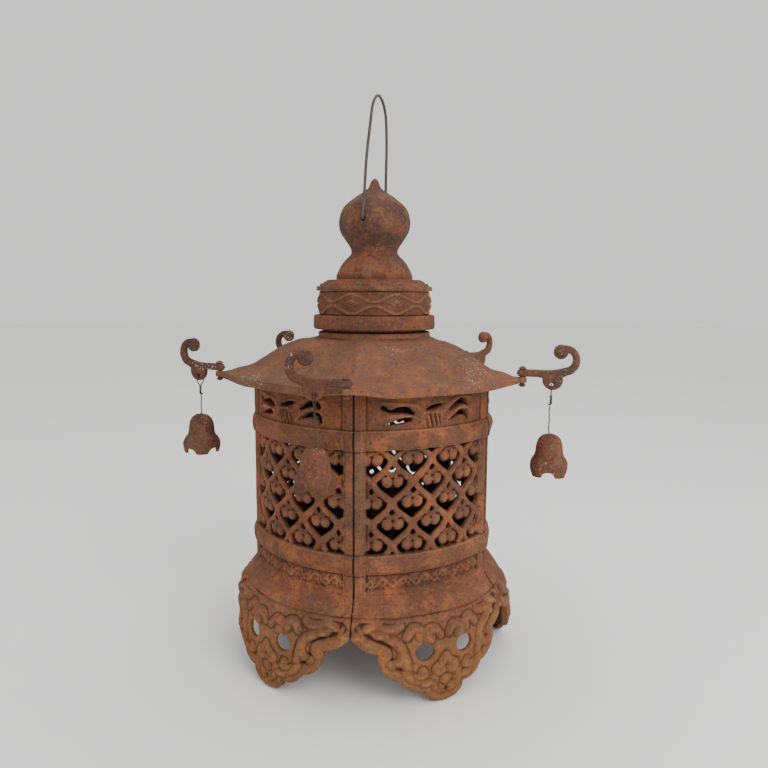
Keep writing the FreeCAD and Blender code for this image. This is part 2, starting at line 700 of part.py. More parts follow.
def bracketBlank():
    # a flat scroll: bar over the eave's corner, lug for the wire, stem curling back to a knob
    bar = Part.makeBox(barTail + scrollX, bracketThick, barHeight, V(-barTail, -bracketThick / 2, 0))
    y = V(0, bracketThick, 0)
    shift = V(0, -bracketThick / 2, 0)
    ring = disc(scrollX, scrollZ, scrollOuter).cut(disc(scrollX, scrollZ, scrollInner))
    reach = 3 * scrollOuter
    keep = flatPolygon([(scrollX - 1, scrollZ - reach), (scrollX + reach, scrollZ - reach),
                        (scrollX + reach, scrollZ + reach), (scrollX - 3.4, scrollZ + reach),
                        (scrollX - 1, scrollZ)])
    stem = ring.common(keep)
    lug = disc(lugX, lugZ, lugRadius).common(flatPolygon([(lugX - 9, barHeight / 2), (lugX + 12, barHeight / 2),
                                                          (lugX + 12, -30), (lugX - 9, -30)]))
    gusset = flatPolygon([(lugX, 0), (lugX + 6.4, -4.0), (scrollX + 6.6, scrollZ - 8.6), (scrollX, barHeight)])
    flats = [stem, lug, gusset, disc(knobX, knobZ, knobRadius)]
    solids = [f.extrude(y) for f in flats]
    for s in solids:
        s.translate(shift)
    whole = fused([bar] + solids)
    wireHole = Part.makeCylinder(wireHoleRadius, 3 * bracketThick, V(wireHoleX, -1.5 * bracketThick, wireHoleZ),
                                 V(0, 1, 0))
    return whole.cut([wireHole, cylinder(rivetRadius + runningGap, -1, barHeight + 1)])


def atCorner(shape, corner):
    # from the bracket's own place (rivet on the axis, pointing +X) to its corner of the eave
    copy = turned(shape, corner * sector - 90 + bracketYaw[corner])
    p = around(corner * sector, rivetCircle, bracketSeat + bracketLift)
    copy.translate(p)
    return copy


def makeBrackets():
    blank = bracketBlank()
    low = eaveBottom
    high = bracketSeat + 2 * bracketLift + barHeight
    rivets = []
    for corner in range(sides):
        export("bracket_" + str(corner + 1), atCorner(blank, corner))
        p = around(corner * sector, rivetCircle, 0)
        shaft = cylinder(rivetRadius, low + rivetHeadHeight - 0.5, high + 0.5, p.x, p.y)
        heads = []
        for base, aim in ((high, 1), (low + rivetHeadHeight, -1)):
            ball = Part.makeSphere(rivetHead * 1.12, V(p.x, p.y, base - aim * (rivetHead * 1.12 - rivetHeadHeight)))
            slab = Part.makeBox(20, 20, 10, V(p.x - 10, p.y - 10, base if aim > 0 else base - 10))
            heads.append(ball.common(slab))
        rivets.append(fused([shaft] + heads))
    export("bracket_rivets", Part.Compound(rivets))


def rod(start, end, radius):
    return Part.makeCylinder(radius, (end - start).Length, start, end - start)


def makeBells():
    for corner in range(sides):
        length = wireLengths[corner]
        top = V(wireHoleX, 0, wireHoleZ)
        fork = top - V(0, 0, wireFork)
        end = top - V(0, 0, length + bellWall + wireKnobGap + wireKnob)
        pieces = [rod(top - V(0, wireSpread, 0), top + V(0, wireSpread, 0), wireRadius)]
        for side in (-1, 1):
            shoulder = top + V(0, side * wireSpread, 0)
            hip = shoulder - V(0, 0, wireDrop)
            pieces += [rod(shoulder, hip, wireRadius), rod(hip, fork, wireRadius)]
            pieces += [Part.makeSphere(wireRadius, p) for p in (shoulder, hip)]
        pieces.append(Part.makeSphere(2.2 * wireRadius, fork))
        pieces.append(rod(fork, end, wireRadius))
        pieces.append(Part.makeSphere(wireKnob, end))
        wire = fused(pieces)
        export("bell_wire_" + str(corner + 1), atCorner(wire, corner))

        z = top.z - length
        outer = bellSurface(0.0, z)
        inner = bellSurface(bellWall, z)
        bell = outer.cut(inner)
        notches = []
        for turn in (0, 90):
            notch = Part.makeCylinder(bellNotchRadius, 4 * bellFlare, V(-2 * bellFlare, 0, 0), V(1, 0, 0))
            notch.rotate(V(0, 0, 0), V(0, 0, 1), turn)
            notch.translate(V(0, 0, z - bellHeight - bellNotchRadius + bellNotchRise))
            notches.append(notch)
        bell = bell.cut(notches + [cylinder(bellHoleRadius, z - 2 * bellWall, z + 1)])
        bell.translate(V(wireHoleX, 0, 0))
        export("bell_" + str(corner + 1), atCorner(bell, corner))


def bellSurface(inset, z):
    # dome, straight waist and flared mouth, about the axis of the wire
    r = bellRadius - inset
    flare = bellFlare - inset
    bottom = z - bellHeight - (1.0 if inset else 0.0)
    crown = z - inset
    dome = z - bellRadius
    low = z - bellShoulder
    waist = z - bellWaist
    edges = [Part.Arc(V(0, 0, crown), V(r * math.sin(math.pi / 4), 0, dome + r * math.cos(math.pi / 4)),
                      V(r, 0, dome)).toShape(),
             Part.makeLine(V(r, 0, dome), V(r, 0, waist)), Part.makeLine(V(r, 0, waist), V(flare, 0, low)),
             Part.makeLine(V(flare, 0, low), V(flare, 0, bottom)), Part.makeLine(V(flare, 0, bottom), V(0, 0, bottom)),
             Part.makeLine(V(0, 0, bottom), V(0, 0, crown))]
    return Part.Face(Part.Wire(edges)).revolve(V(0, 0, 0), V(0, 0, 1), 360)


makePanels()
makeFloor()
makeRoof()
makeCollar()
makeBail()
makeBrackets()
makeBells()
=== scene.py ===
import json
import math

import bpy
import numpy as np
from mathutils import Matrix, Vector


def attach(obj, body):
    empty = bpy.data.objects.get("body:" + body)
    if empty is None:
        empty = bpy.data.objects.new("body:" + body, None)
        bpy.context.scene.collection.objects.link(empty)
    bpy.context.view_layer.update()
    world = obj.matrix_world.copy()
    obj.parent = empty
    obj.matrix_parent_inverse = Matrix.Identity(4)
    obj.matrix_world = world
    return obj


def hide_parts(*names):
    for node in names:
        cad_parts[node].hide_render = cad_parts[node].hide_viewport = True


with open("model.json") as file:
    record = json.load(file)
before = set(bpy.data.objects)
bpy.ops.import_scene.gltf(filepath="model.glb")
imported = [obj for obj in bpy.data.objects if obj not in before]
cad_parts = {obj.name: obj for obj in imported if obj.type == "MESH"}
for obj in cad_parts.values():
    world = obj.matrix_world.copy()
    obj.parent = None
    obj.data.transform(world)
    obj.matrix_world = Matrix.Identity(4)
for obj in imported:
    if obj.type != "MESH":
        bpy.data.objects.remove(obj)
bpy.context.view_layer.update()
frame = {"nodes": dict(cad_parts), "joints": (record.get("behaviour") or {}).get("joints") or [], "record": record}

mm = 0.001
sides = 5
sector = 360.0 / sides
joints = {j["name"]: j for j in frame["joints"]}
print("frame loaded,", len(frame["nodes"]), "nodes")


# numbers that vary over a surface

def smooth(low, high, x):
    t = np.clip((x - low) / (high - low), 0.0, 1.0)
    return t * t * (3 - 2 * t)


def bump(x, width):  # a rounded hill, 1 in the middle and 0 from width outwards
    t = np.clip(1 - (x / width) ** 2, 0.0, 1.0)
    return t * t


def grain(x, y, size, seed):  # smooth random height between -1 and 1, features about size across
    rng = np.random.default_rng(seed)
    table = rng.uniform(-1, 1, (64, 64))
    u, v = np.asarray(x) / size + 500.3, np.asarray(y) / size + 500.7
    i, j = np.floor(u).astype(int), np.floor(v).astype(int)
    a, b = u - i, v - j
    a, b = a * a * (3 - 2 * a), b * b * (3 - 2 * b)
    i, j, k, l = i % 64, j % 64, (i + 1) % 64, (j + 1) % 64
    top = table[i, j] * (1 - a) + table[k, j] * a
    return top * (1 - b) + (table[i, l] * (1 - a) + table[k, l] * a) * b


def roughGrain(x, y, size, seed):  # three sizes of grain together
    total = grain(x, y, size, seed) + 0.5 * grain(x, y, size / 2.1, seed + 1)
    return (total + 0.3 * grain(x, y, size / 4.3, seed + 2)) / 1.8


def curvePoints(points, steps=8):  # rounded line through the points
    p = np.asarray(points, float)
    ends = np.vstack([2 * p[0] - p[1], p, 2 * p[-1] - p[-2]])
    out = []
    for i in range(1, len(ends) - 2):
        a, b, c, d = ends[i - 1:i + 3]
        t = np.linspace(0, 1, steps, endpoint=False)[:, None]
        out.append(0.5 * (2 * b + (c - a) * t + (2 * a - 5 * b + 4 * c - d) * t ** 2
                          + (3 * b - a - 3 * c + d) * t ** 3))
    out.append(p[-1:])
    return np.vstack(out)


def nearLine(x, y, line):  # distance to a line of (x, y, half width), less the half width there
    shape = np.shape(x)
    x, y = np.ravel(x), np.ravel(y)
    best = np.full(x.shape, 1e3)
    lo, hi = line[:, :2].min(0) - 12, line[:, :2].max(0) + 12
    near = (x > lo[0]) & (x < hi[0]) & (y > lo[1]) & (y < hi[1])
    if near.any():
        px, py = x[near][:, None], y[near][:, None]
        ax, ay, aw = line[:-1, 0], line[:-1, 1], line[:-1, 2]
        bx, by, bw = line[1:, 0] - ax, line[1:, 1] - ay, line[1:, 2] - aw
        t = np.clip(((px - ax) * bx + (py - ay) * by) / (bx ** 2 + by ** 2 + 1e-9), 0, 1)
        best[near] = (np.hypot(px - ax - t * bx, py - ay - t * by) - aw - t * bw).min(1)
    return best.reshape(shape)


def nearLines(x, y, lines):
    best = np.full(np.shape(x), 1e3)
    for line in lines:
        best = np.minimum(best, nearLine(x, y, line))
    return best


def insideShape(x, y, outline):  # signed distance to a closed outline, below 0 inside
    shape = np.shape(x)
    x, y = np.ravel(x), np.ravel(y)
    a, b = outline, np.roll(outline, -1, axis=0)
    best = np.full(x.shape, 1e9)
    inside = np.zeros(x.shape, bool)
    for (ax, ay), (bx, by) in zip(a, b):
        dx, dy = bx - ax, by - ay
        t = np.clip(((x - ax) * dx + (y - ay) * dy) / (dx * dx + dy * dy + 1e-12), 0, 1)
        best = np.minimum(best, np.hypot(x - ax - t * dx, y - ay - t * dy))
        if ay != by:
            inside ^= ((ay > y) != (by > y)) & (x < dx * (y - ay) / (by - ay) + ax)
    return np.where(inside, -best, best).reshape(shape)


def arcThrough(a, b, c, steps=10):  # points on the circle through three points, from a to c
    a, b, c = (np.asarray(p, float) for p in (a, b, c))
    m = np.array([b - a, c - a])
    centre = np.linalg.solve(m, 0.5 * np.array([b @ b - a @ a, c @ c - a @ a]))
    angles = [math.atan2(*(p - centre)[::-1]) for p in (a, b, c)]
    while angles[1] - angles[0] > math.pi:
        angles[1] -= 2 * math.pi
    while angles[1] - angles[0] < -math.pi:
        angles[1] += 2 * math.pi
    turn = angles[1] - angles[0]
    while (angles[2] - angles[1]) * turn < 0:
        angles[2] += 2 * math.pi * (1 if turn > 0 else -1)
    while abs(angles[2] - angles[1]) > 2 * math.pi:
        angles[2] -= 2 * math.pi * (1 if turn > 0 else -1)
    t = np.linspace(angles[0], angles[2], steps, endpoint=False)
    radius = np.linalg.norm(a - centre)
    return [(centre[0] + radius * math.cos(k), centre[1] + radius * math.sin(k)) for k in t]


# meshes

def addPiece(name, points, faces, body, look, nodes=(), tone=None, sharp=35):
    mesh = bpy.data.meshes.new(name)
    mesh.from_pydata([tuple(p) for p in np.asarray(points) * mm], [], [tuple(f) for f in faces])
    mesh.validate()
    mesh.polygons.foreach_set("use_smooth", [True] * len(mesh.polygons))
    if tone is not None:  # tone map for painted light and shade: 0 in the hollows (painted shade), 0.5 on a plain face, 1 on raised edges (painted highlight with edge wear)
        layer = mesh.attributes.new("tone", "FLOAT", "POINT")
        layer.data.foreach_set("value", np.clip(tone, 0, 1).astype(np.float32))
    mesh.set_sharp_from_angle(angle=math.radians(sharp))
    mesh.materials.append(looks[look])
    piece = bpy.data.objects.new(name, mesh)
    bpy.context.scene.collection.objects.link(piece)
    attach(piece, body)
    if nodes:
        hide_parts(*nodes)
    return piece


def castSheet(u, v, metal, place, face, back, closed=False):
    # one casting: a grid over (u, v) cut along metal(u, v) = 0, with a shaped face, a back and edge walls
    cell = min(u[1] - u[0], v[1] - v[0])
    if closed:
        u = u[:-1]
    gridU, gridV = np.meshgrid(u, v, indexing="ij")
    d = metal(gridU, gridV)
    e = cell * 0.05
    reach = 0.62 * cell
    moved = np.abs(d) < reach  # the points beside the edge are drawn onto it
    for _ in range(2):
        pu, pv = gridU[moved], gridV[moved]
        gu = (metal(pu + e, pv) - metal(pu - e, pv)) / (2 * e)
        gv = (metal(pu, pv + e) - metal(pu, pv - e)) / (2 * e)
        size = np.maximum(gu ** 2 + gv ** 2, 0.2)
        step = np.clip(metal(pu, pv) / size, -reach, reach)
        gridU[moved], gridV[moved] = pu - step * gu, pv - step * gv
    if not closed:
        gridU[0], gridU[-1] = u[0], u[-1]
        gridU = np.clip(gridU, u[0], u[-1])
    gridV = np.clip(gridV, v[0], v[-1])
    keep = (d < 0) | moved
    n, m = gridU.shape
    index = np.arange(n * m).reshape(n, m)
    if closed:
        index = np.vstack([index, index[:1]])
        keep = np.vstack([keep, keep[:1]])
    corner = [index[:-1, :-1], index[1:, :-1], index[1:, 1:], index[:-1, 1:]]
    has = [keep[:-1, :-1], keep[1:, :-1], keep[1:, 1:], keep[:-1, 1:]]
    count = sum(h.astype(int) for h in has)
    full = count == 4
    faces = [tuple(q) for q in np.stack([c[full] for c in corner], -1)]
    for missing in range(4):
        three = (count == 3) & ~has[missing]
        order = [k for k in range(4) if k != missing]
        faces += [tuple(q) for q in np.stack([corner[k][three] for k in order], -1)]
    flatU, flatV = gridU.ravel(), gridV.ravel()
    metalHere = metal(flatU, flatV)
    outer, tone = face(flatU, flatV, metalHere)
    inner = back(flatU, flatV, metalHere)
    top = place(flatU, flatV, outer)
    low = place(flatU, flatV, inner)
    edges = {}
    for f in faces:
        for k in range(len(f)):
            a, b = f[k], f[(k + 1) % len(f)]
            if (b, a) in edges:
                del edges[(b, a)]
            else:
                edges[(a, b)] = True
    shift = n * m
    allFaces = list(faces) + [tuple(k + shift for k in reversed(f)) for f in faces]
    allFaces += [(b, a, a + shift, b + shift) for a, b in edges]
    used = np.unique(np.concatenate([np.array(f) for f in allFaces]))
    renumber = np.full(2 * shift, -1)
    renumber[used] = np.arange(len(used))
    points = np.vstack([top, low])[used]
    # the back faces get tone 0.3: painted shade on the inside of each casting and down its cut walls
    tones = np.concatenate([tone, np.full(shift, 0.3)])[used]
    return points, [tuple(renumber[list(f)]) for f in allFaces], tones


def turnedPart(profile, steps=96, ripple=0.0, seed=1):
    # a lathe shape from (radius, z) points; a radius of 0 closes it
    line = np.asarray(profile, float)
    angles = np.linspace(0, 2 * math.pi, steps, endpoint=False)
    points, faces, rings = [], [], []
    for r, z in line:
        if r < 1e-6:
            rings.append([len(points)])
            points.append((0, 0, z))
            continue
        rings.append(list(range(len(points), len(points) + steps)))
        wave = ripple * roughGrain(angles * 12, np.full(steps, z), 6.0, seed)
        points += [((r + w) * math.sin(a), -(r + w) * math.cos(a), z) for a, w in zip(angles, wave)]
    for low, high in zip(rings, rings[1:]):
        for k in range(steps):
            n = (k + 1) % steps
            if len(low) == 1 and len(high) > 1:
                faces.append((low[0], high[n], high[k]))
            elif len(high) == 1 and len(low) > 1:
                faces.append((low[k], low[n], high[0]))
            elif len(low) > 1:
                faces.append((low[k], low[n], high[n], high[k]))
    return np.array(points), faces


def roundWire(line, radius, steps=10, caps=True):
    # a wire along points, with a turning frame that doesn't twist
    p = np.asarray(line, float)
    radii = np.broadcast_to(radius, (len(p),))
    tangent = np.gradient(p, axis=0)
    tangent /= np.linalg.norm(tangent, axis=1)[:, None]
    side = np.cross(tangent[0], [0.31, 0.87, 0.39])
    points, faces = [], []
    for k in range(len(p)):
        side = side - tangent[k] * (side @ tangent[k])
        side /= np.linalg.norm(side)
        up = np.cross(tangent[k], side)
        for s in range(steps):
            a = 2 * math.pi * s / steps
            points.append(p[k] + radii[k] * (math.cos(a) * side + math.sin(a) * up))
    for k in range(len(p) - 1):
        for s in range(steps):
            n = (s + 1) % steps
            faces.append((k * steps + s, k * steps + n, (k + 1) * steps + n, (k + 1) * steps + s))
    if caps:
        faces.append(tuple(reversed(range(steps))))
        faces.append(tuple((len(p) - 1) * steps + s for s in range(steps)))
    return np.array(points), faces


def gather(parts):  # several meshes as one
    points, faces, count = [], [], 0
    for p, f in parts:
        points.append(np.asarray(p))
        faces += [tuple(i + count for i in q) for q in f]
        count += len(p)
    return np.vstack(points), faces


def spun(points, degrees):
    a = math.radians(degrees)
    turn = np.array([[math.cos(a), -math.sin(a), 0], [math.sin(a), math.cos(a), 0], [0, 0, 1]])
    return np.asarray(points) @ turn.T


# rust

class Value:
    def __init__(self, rust, socket):
        self.rust = rust
        self.socket = socket

    def reckon(self, operation, a, b=0.0):
        return self.rust.node("ShaderNodeMath", {"operation": operation}, {0: a, 1: b})

    def __add__(self, other):
        return self.reckon("ADD", self, other)

    def __mul__(self, other):
        return self.reckon("MULTIPLY", self, other)

    __radd__ = __add__
    __rmul__ = __mul__


class Finish:
    def __init__(self, name):
        self.material = bpy.data.materials.new(name)
        self.material.use_nodes = True
        self.tree = self.material.node_tree
        self.shader = self.tree.nodes["Principled BSDF"]

    def node(self, kind, settings, inputs, output=0):
        made = self.tree.nodes.new(kind)
        for key, value in settings.items():
            if key == "stops":
                ramp = made.color_ramp
                for _ in range(len(value) - len(ramp.elements)):
                    ramp.elements.new(0.5)
                for element, (place, colour) in zip(ramp.elements, value):
                    element.position = place
                    element.color = (*colour, 1.0) if hasattr(colour, "__len__") else (colour,) * 3 + (1.0,)
            else:
                setattr(made, key, value)
        for key, value in inputs.items():
            if isinstance(value, Value):
                self.tree.links.new(value.socket, made.inputs[key])
            else:
                made.inputs[key].default_value = value
        return Value(self, made.outputs[output])

    def mix(self, share, a, b):
        a, b = ((*c, 1.0) if isinstance(c, tuple) else c for c in (a, b))
        return self.node("ShaderNodeMix", {"data_type": "RGBA"}, {0: share, 6: a, 7: b}, 2)

    def tint(self, colour, amount):  # a colour or place scaled by a value
        return self.node("ShaderNodeVectorMath", {"operation": "SCALE"}, {0: colour, "Scale": amount})

    def placeInMm(self):
        spot = self.node("ShaderNodeTexCoord", {}, {}, "Object")
        return self.tint(spot, 1 / mm)

    def noise(self, place, scale, detail=4.0, roughness=0.6):
        return self.node("ShaderNodeTexNoise", {}, {"Vector": place, "Scale": scale, "Detail": detail,
                                                   "Roughness": roughness})

    def between(self, value, low, high):  # 0 below low, 1 above high
        return self.node("ShaderNodeMapRange", {"interpolation_type": "SMOOTHSTEP"},
                         {"Value": value, "From Min": low, "From Max": high})

    def bumps(self, height, strength, distance):
        return self.node("ShaderNodeBump", {}, {"Strength": strength, "Distance": distance, "Height": height})

    def set(self, name, value):
        if isinstance(value, Value):
            self.tree.links.new(value.socket, self.shader.inputs[name])
        else:
            self.shader.inputs[name].default_value = value


def castRust(name, look):
    made = Finish(name)
    place = made.placeInMm()
    drip = made.node("ShaderNodeVectorMath", {"operation": "MULTIPLY"}, {0: place, 1: (1.0, 1.0, 0.22)})
    tone = made.node("ShaderNodeAttribute", {"attribute_name": "tone"}, {}, "Fac") if look["toned"] else 0.5
    broad = made.noise(place, 0.021, 3.0, 0.55)
    patch = made.noise(place, 0.075, 6.0, 0.68)
    blotch = made.noise(drip, 0.13, 5.0, 0.6)
    speck = made.noise(place, 0.55, 4.0, 0.7)
    pits = made.noise(place, 1.5, 3.0, 0.65)
    colour = made.mix(made.between(broad, 0.42, 0.58), look["brown"], look["red"])
    colour = made.mix(made.between(patch, 0.48, 0.62) * look["orangeShare"], colour, look["orange"])
    colour = made.mix(made.between(blotch, 0.50, 0.64) * look["greyShare"], colour, look["grey"])
    if look["ochre"]:  # the feet have weathered to a brighter, more yellow rust
        height = made.node("ShaderNodeSeparateXYZ", {}, {0: place}, 2)
        low = made.between(height + 26.0 * made.noise(place, 0.05, 3.0, 0.6), 78.0, 44.0)
        colour = made.mix(low * look["ochre"], colour, look["footRust"])
    colour = made.mix(made.between(speck, 0.54, 0.68) * 0.55, colour, look["orange"])
    colour = made.mix(made.between(speck, 0.48, 0.32) * 0.6, colour, look["dark"])
    if look["toned"]:
        # painted shade: the colour darkens towards the dark rust where the tone is low, in hollows, grooves,
        # joints and on inside faces
        colour = made.mix(made.between(tone, 0.45, 0.05) * look["hollow"], colour, look["dark"])
        # raised edges lighten in patches towards the edge colour: worn rust together with a painted highlight
        # along the edges
        edgeWearAndHighlight = made.between(tone, 0.55, 0.92) * look["edgeWearAndHighlight"] * (0.4 + 0.9 * patch)
        colour = made.mix(edgeWearAndHighlight, colour, look["edge"])
    if look["white"]:
        flake = made.noise(place, 0.9, 2.0, 0.5)
        zone = made.noise(place, 0.035, 2.0, 0.5)
        share = made.between(flake, 0.62, 0.66) * made.between(zone, 0.55, 0.64) * look["white"]
        colour = made.mix(share, colour, look["flake"])
    made.set("Base Color", made.tint(colour, 0.45 + 0.6 * broad + 0.5 * patch))
    made.set("Roughness", 0.66 + 0.3 * patch)
    made.set("Specular IOR Level", look["shine"])
    height = 0.45 * patch + 0.35 * speck + 0.30 * pits + 0.35 * made.noise(place, 0.22, 3.0, 0.6)
    made.set("Normal", made.bumps(height, look["strength"], 0.0011))
    return made.material


def drawnWire(name, look):
    made = Finish(name)
    place = made.placeInMm()
    patch = made.noise(place, 0.12, 4.0, 0.6)
    speck = made.noise(place, 1.1, 3.0, 0.6)
    colour = made.mix(made.between(patch, 0.45, 0.68) * look["rustShare"], look["metal"], look["rust"])
    colour = made.mix(made.between(speck, 0.42, 0.30) * 0.6, colour, look["dark"])
    made.set("Base Color", colour)
    made.set("Metallic", look["metallic"])
    made.set("Roughness", 0.42 + 0.35 * patch)
    made.set("Normal", made.bumps(speck, 0.5, 0.0002))
    return made.material


# the hollow share paints shade into the hollows; the worn share lightens raised edges towards the edge colour,
# partly worn rust and partly painted highlight
rustLook = {"brown": (0.135, 0.055, 0.030), "red": (0.165, 0.058, 0.030), "orange": (0.300, 0.100, 0.032),
            "grey": (0.115, 0.080, 0.050), "dark": (0.030, 0.014, 0.008), "edge": (0.310, 0.150, 0.075),
            "footRust": (0.225, 0.102, 0.036), "flake": (0.62, 0.58, 0.52), "orangeShare": 0.55,
            "greyShare": 0.50, "hollow": 0.9, "edgeWearAndHighlight": 0.7, "white": 0.0, "shine": 0.22, "strength": 0.85,
            "toned": True, "ochre": 0.0}
darkRust = {**rustLook, "brown": (0.098, 0.042, 0.026), "red": (0.118, 0.044, 0.026), "orangeShare": 0.3}
looks = {
    "panel": castRust("panelRust", {**rustLook, "ochre": 0.55, "white": 0.12}),
    "roof": castRust("roofRust", {**rustLook, "toned": False, "orangeShare": 0.32, "white": 0.6,
                                  "greyShare": 0.65, "brown": (0.150, 0.068, 0.040),
                                  "red": (0.170, 0.068, 0.038)}),
    "collar": castRust("collarRust", {**darkRust, "brown": (0.112, 0.050, 0.032),
                                      "red": (0.13, 0.05, 0.03)}),
    "plainCollar": castRust("plainCollarRust", {**darkRust, "toned": False, "brown": (0.112, 0.050, 0.032)}),
    "jewel": castRust("jewelRust", {**darkRust, "toned": False, "shine": 0.35, "greyShare": 0.35,
                                    "brown": (0.066, 0.031, 0.021), "red": (0.080, 0.031, 0.019)}),
    "jewelBase": castRust("jewelBaseRust", {**darkRust, "toned": False, "red": (0.122, 0.043, 0.024),
                                            "brown": (0.098, 0.038, 0.023)}),
    "bracket": castRust("bracketRust", {**darkRust, "brown": (0.085, 0.045, 0.032),
                                        "grey": (0.10, 0.072, 0.055), "white": 1.0}),
    "bell": castRust("bellRust", {**darkRust, "brown": (0.080, 0.036, 0.024), "white": 0.3}),
    "inner": castRust("innerRust", {**darkRust, "toned": False, "brown": (0.060, 0.030, 0.020),
                                    "red": (0.070, 0.030, 0.019), "orange": (0.11, 0.045, 0.022),
                                    "grey": (0.06, 0.045, 0.035)}),
    "bail": drawnWire("bailSteel", {"metal": (0.075, 0.065, 0.060), "rust": (0.095, 0.045, 0.028),
                                    "dark": (0.02, 0.018, 0.017), "rustShare": 0.7, "metallic": 0.5}),
    "wire": drawnWire("bellWireSteel", {"metal": (0.045, 0.040, 0.037), "rust": (0.09, 0.045, 0.03),
                                        "dark": (0.02, 0.02, 0.02), "rustShare": 0.6, "metallic": 0.5}),
    "fastener": castRust("fastenerRust", {**darkRust, "toned": False, "orangeShare": 0.4}),
    "bracketRivet": castRust("rivetRust", {**darkRust, "toned": False, "brown": (0.105, 0.056, 0.040)})}
print("finishes made")


# wall panels

panel = {"postRadius": 88.5, "midRadius": 85.5, "wall": 4.5, "gap": 0.5, "cell": 0.78, "top": 208.0,
         "rib": 7.5, "bands": (176.0, 92.0), "bandHalf": 6.75, "bandProud": 3.2,
         "bead": 72.8, "groove": 58.9, "pitch": 28.8, "row": 14.5, "topRow": 158.5,
         "holeX": 15.6, "holeZ": 36.8, "holeHalf": (6.7, 5.7)}
half = math.radians(sector / 2)
chord = panel["postRadius"] * math.sin(half)
sag = panel["midRadius"] - panel["postRadius"] * math.cos(half)
arcRadius = (chord ** 2 + sag ** 2) / (2 * sag)
arcCentre = arcRadius - panel["midRadius"]
ribEdge = arcRadius * math.asin((chord - panel["rib"] * math.cos(half)) / arcRadius)
zoneLow = panel["bands"][1] + panel["bandHalf"]
zoneHigh = panel["bands"][0] - panel["bandHalf"]
jointU = half * panel["postRadius"]

flareLine = [(0.0, 104.6), (12.0, 105.4), (27.8, 105.7), (42.0, 104.6), (49.5, 102.7), (55.5, 100.1),
             (61.6, 96.3), (66.8, 92.9), (72.8, 89.3), (76.0, 88.5), (90.0, 88.5)]


def baseRadius(u, v):  # the plain wall, flare and foot before any relief
    azimuth = u / panel["postRadius"]
    c = arcCentre * np.cos(azimuth)
    flat = -c + np.sqrt(np.maximum(c ** 2 - arcCentre ** 2 + arcRadius ** 2, 1.0))
    line = curvePoints(flareLine, 6)
    flared = np.interp(v, line[:, 0], line[:, 1])
    share = smooth(66.0, 77.0, v)
    return flat * share + flared * (1 - share)


def wallPlace(azimuthDegrees):
    def place(u, v, h):
        a = u / panel["postRadius"]
        r = baseRadius(u, v) + h
        return spun(np.stack([r * np.sin(a), -r * np.cos(a), v], -1), azimuthDegrees)
    return place


def alongWall(u):
    azimuth = u / panel["postRadius"]
    r = baseRadius(u, np.full(np.shape(u), 100.0))
    return arcRadius * np.arcsin(np.clip(r * np.sin(azimuth) / arcRadius, -1, 1))


# right half of one heart-shaped hole, from the dip between the curled ends down to the point
halfHole = curvePoints([(0.0, 1.5), (1.3, 0.2), (3.4, -0.4), (5.6, 0.3), (7.0, 2.2), (7.6, 4.2), (8.9, 5.4),
                        (10.4, 4.7), (10.7, 2.8), (9.4, 0.4), (6.6, -2.2), (3.0, -4.9), (0.0, -7.2)], 3)
heart = {"hole": np.vstack([halfHole, halfHole[-2:0:-1] * (-1, 1)]), "band": 2.35, "knob": (3.9, 4.1, 4.3),
         "web": 0.5, "gap": (2.0, 2.7), "gapDrop": 2.2, "crease": 0.8, "creaseReach": 5.2}


def heartPlaces():
    rng = np.random.default_rng(4)
    places = []
    for row in range(-1, 5):
        for column in range(-2, 3):
            x = (column + (0.5 if row % 2 else 0.0) + 0.5) * panel["pitch"]
            if abs(x) < ribEdge + panel["pitch"] / 2:
                places.append((x + rng.uniform(-0.4, 0.4), panel["topRow"] - row * panel["row"]
                               + rng.uniform(-0.3, 0.3), rng.uniform(0.94, 1.05)))
    return places


hearts = heartPlaces()


def heartLattice(s, v):  # distance from the nearest hole (below 0 in a hole), and the height of the bars
    far = np.full(np.shape(s), 1e3)
    bar = np.full(np.shape(s), heart["web"])
    for x, z, size in hearts:
        near = (np.abs(s - x) < 17) & (np.abs(v - z) < 14)
        if not near.any():
            continue
        px, pz = (s[near] - x) / size, (v[near] - z) / size
        out = insideShape(px, pz, heart["hole"]) * size
        gap = np.full(px.shape, 1e3)
        for side in (-1, 1):
            across = np.abs(px - side * panel["pitch"] / 2) / heart["gap"][0]
            gap = np.minimum(gap, (across + np.abs(pz + heart["gapDrop"]) / heart["gap"][1] - 1) * 1.6)
        far[near] = np.minimum(far[near], np.minimum(out, gap))
        tube = np.sqrt(np.maximum(1 - ((out - heart["band"]) / (heart["band"] + 0.15)) ** 2, 0))
        kx, kz, kr = heart["knob"]
        fromKnob = np.hypot(np.abs(px) - kx, pz - kz)
        knob = np.sqrt(np.maximum(1 - (fromKnob / kr) ** 2, 0))
        crease = heart["crease"] * bump(fromKnob - kr, 0.9) * (out < heart["creaseReach"])
        bar[near] = np.maximum(bar[near], np.maximum(tube, knob * 1.15)) - crease
    return far, np.maximum(bar, 0.0)


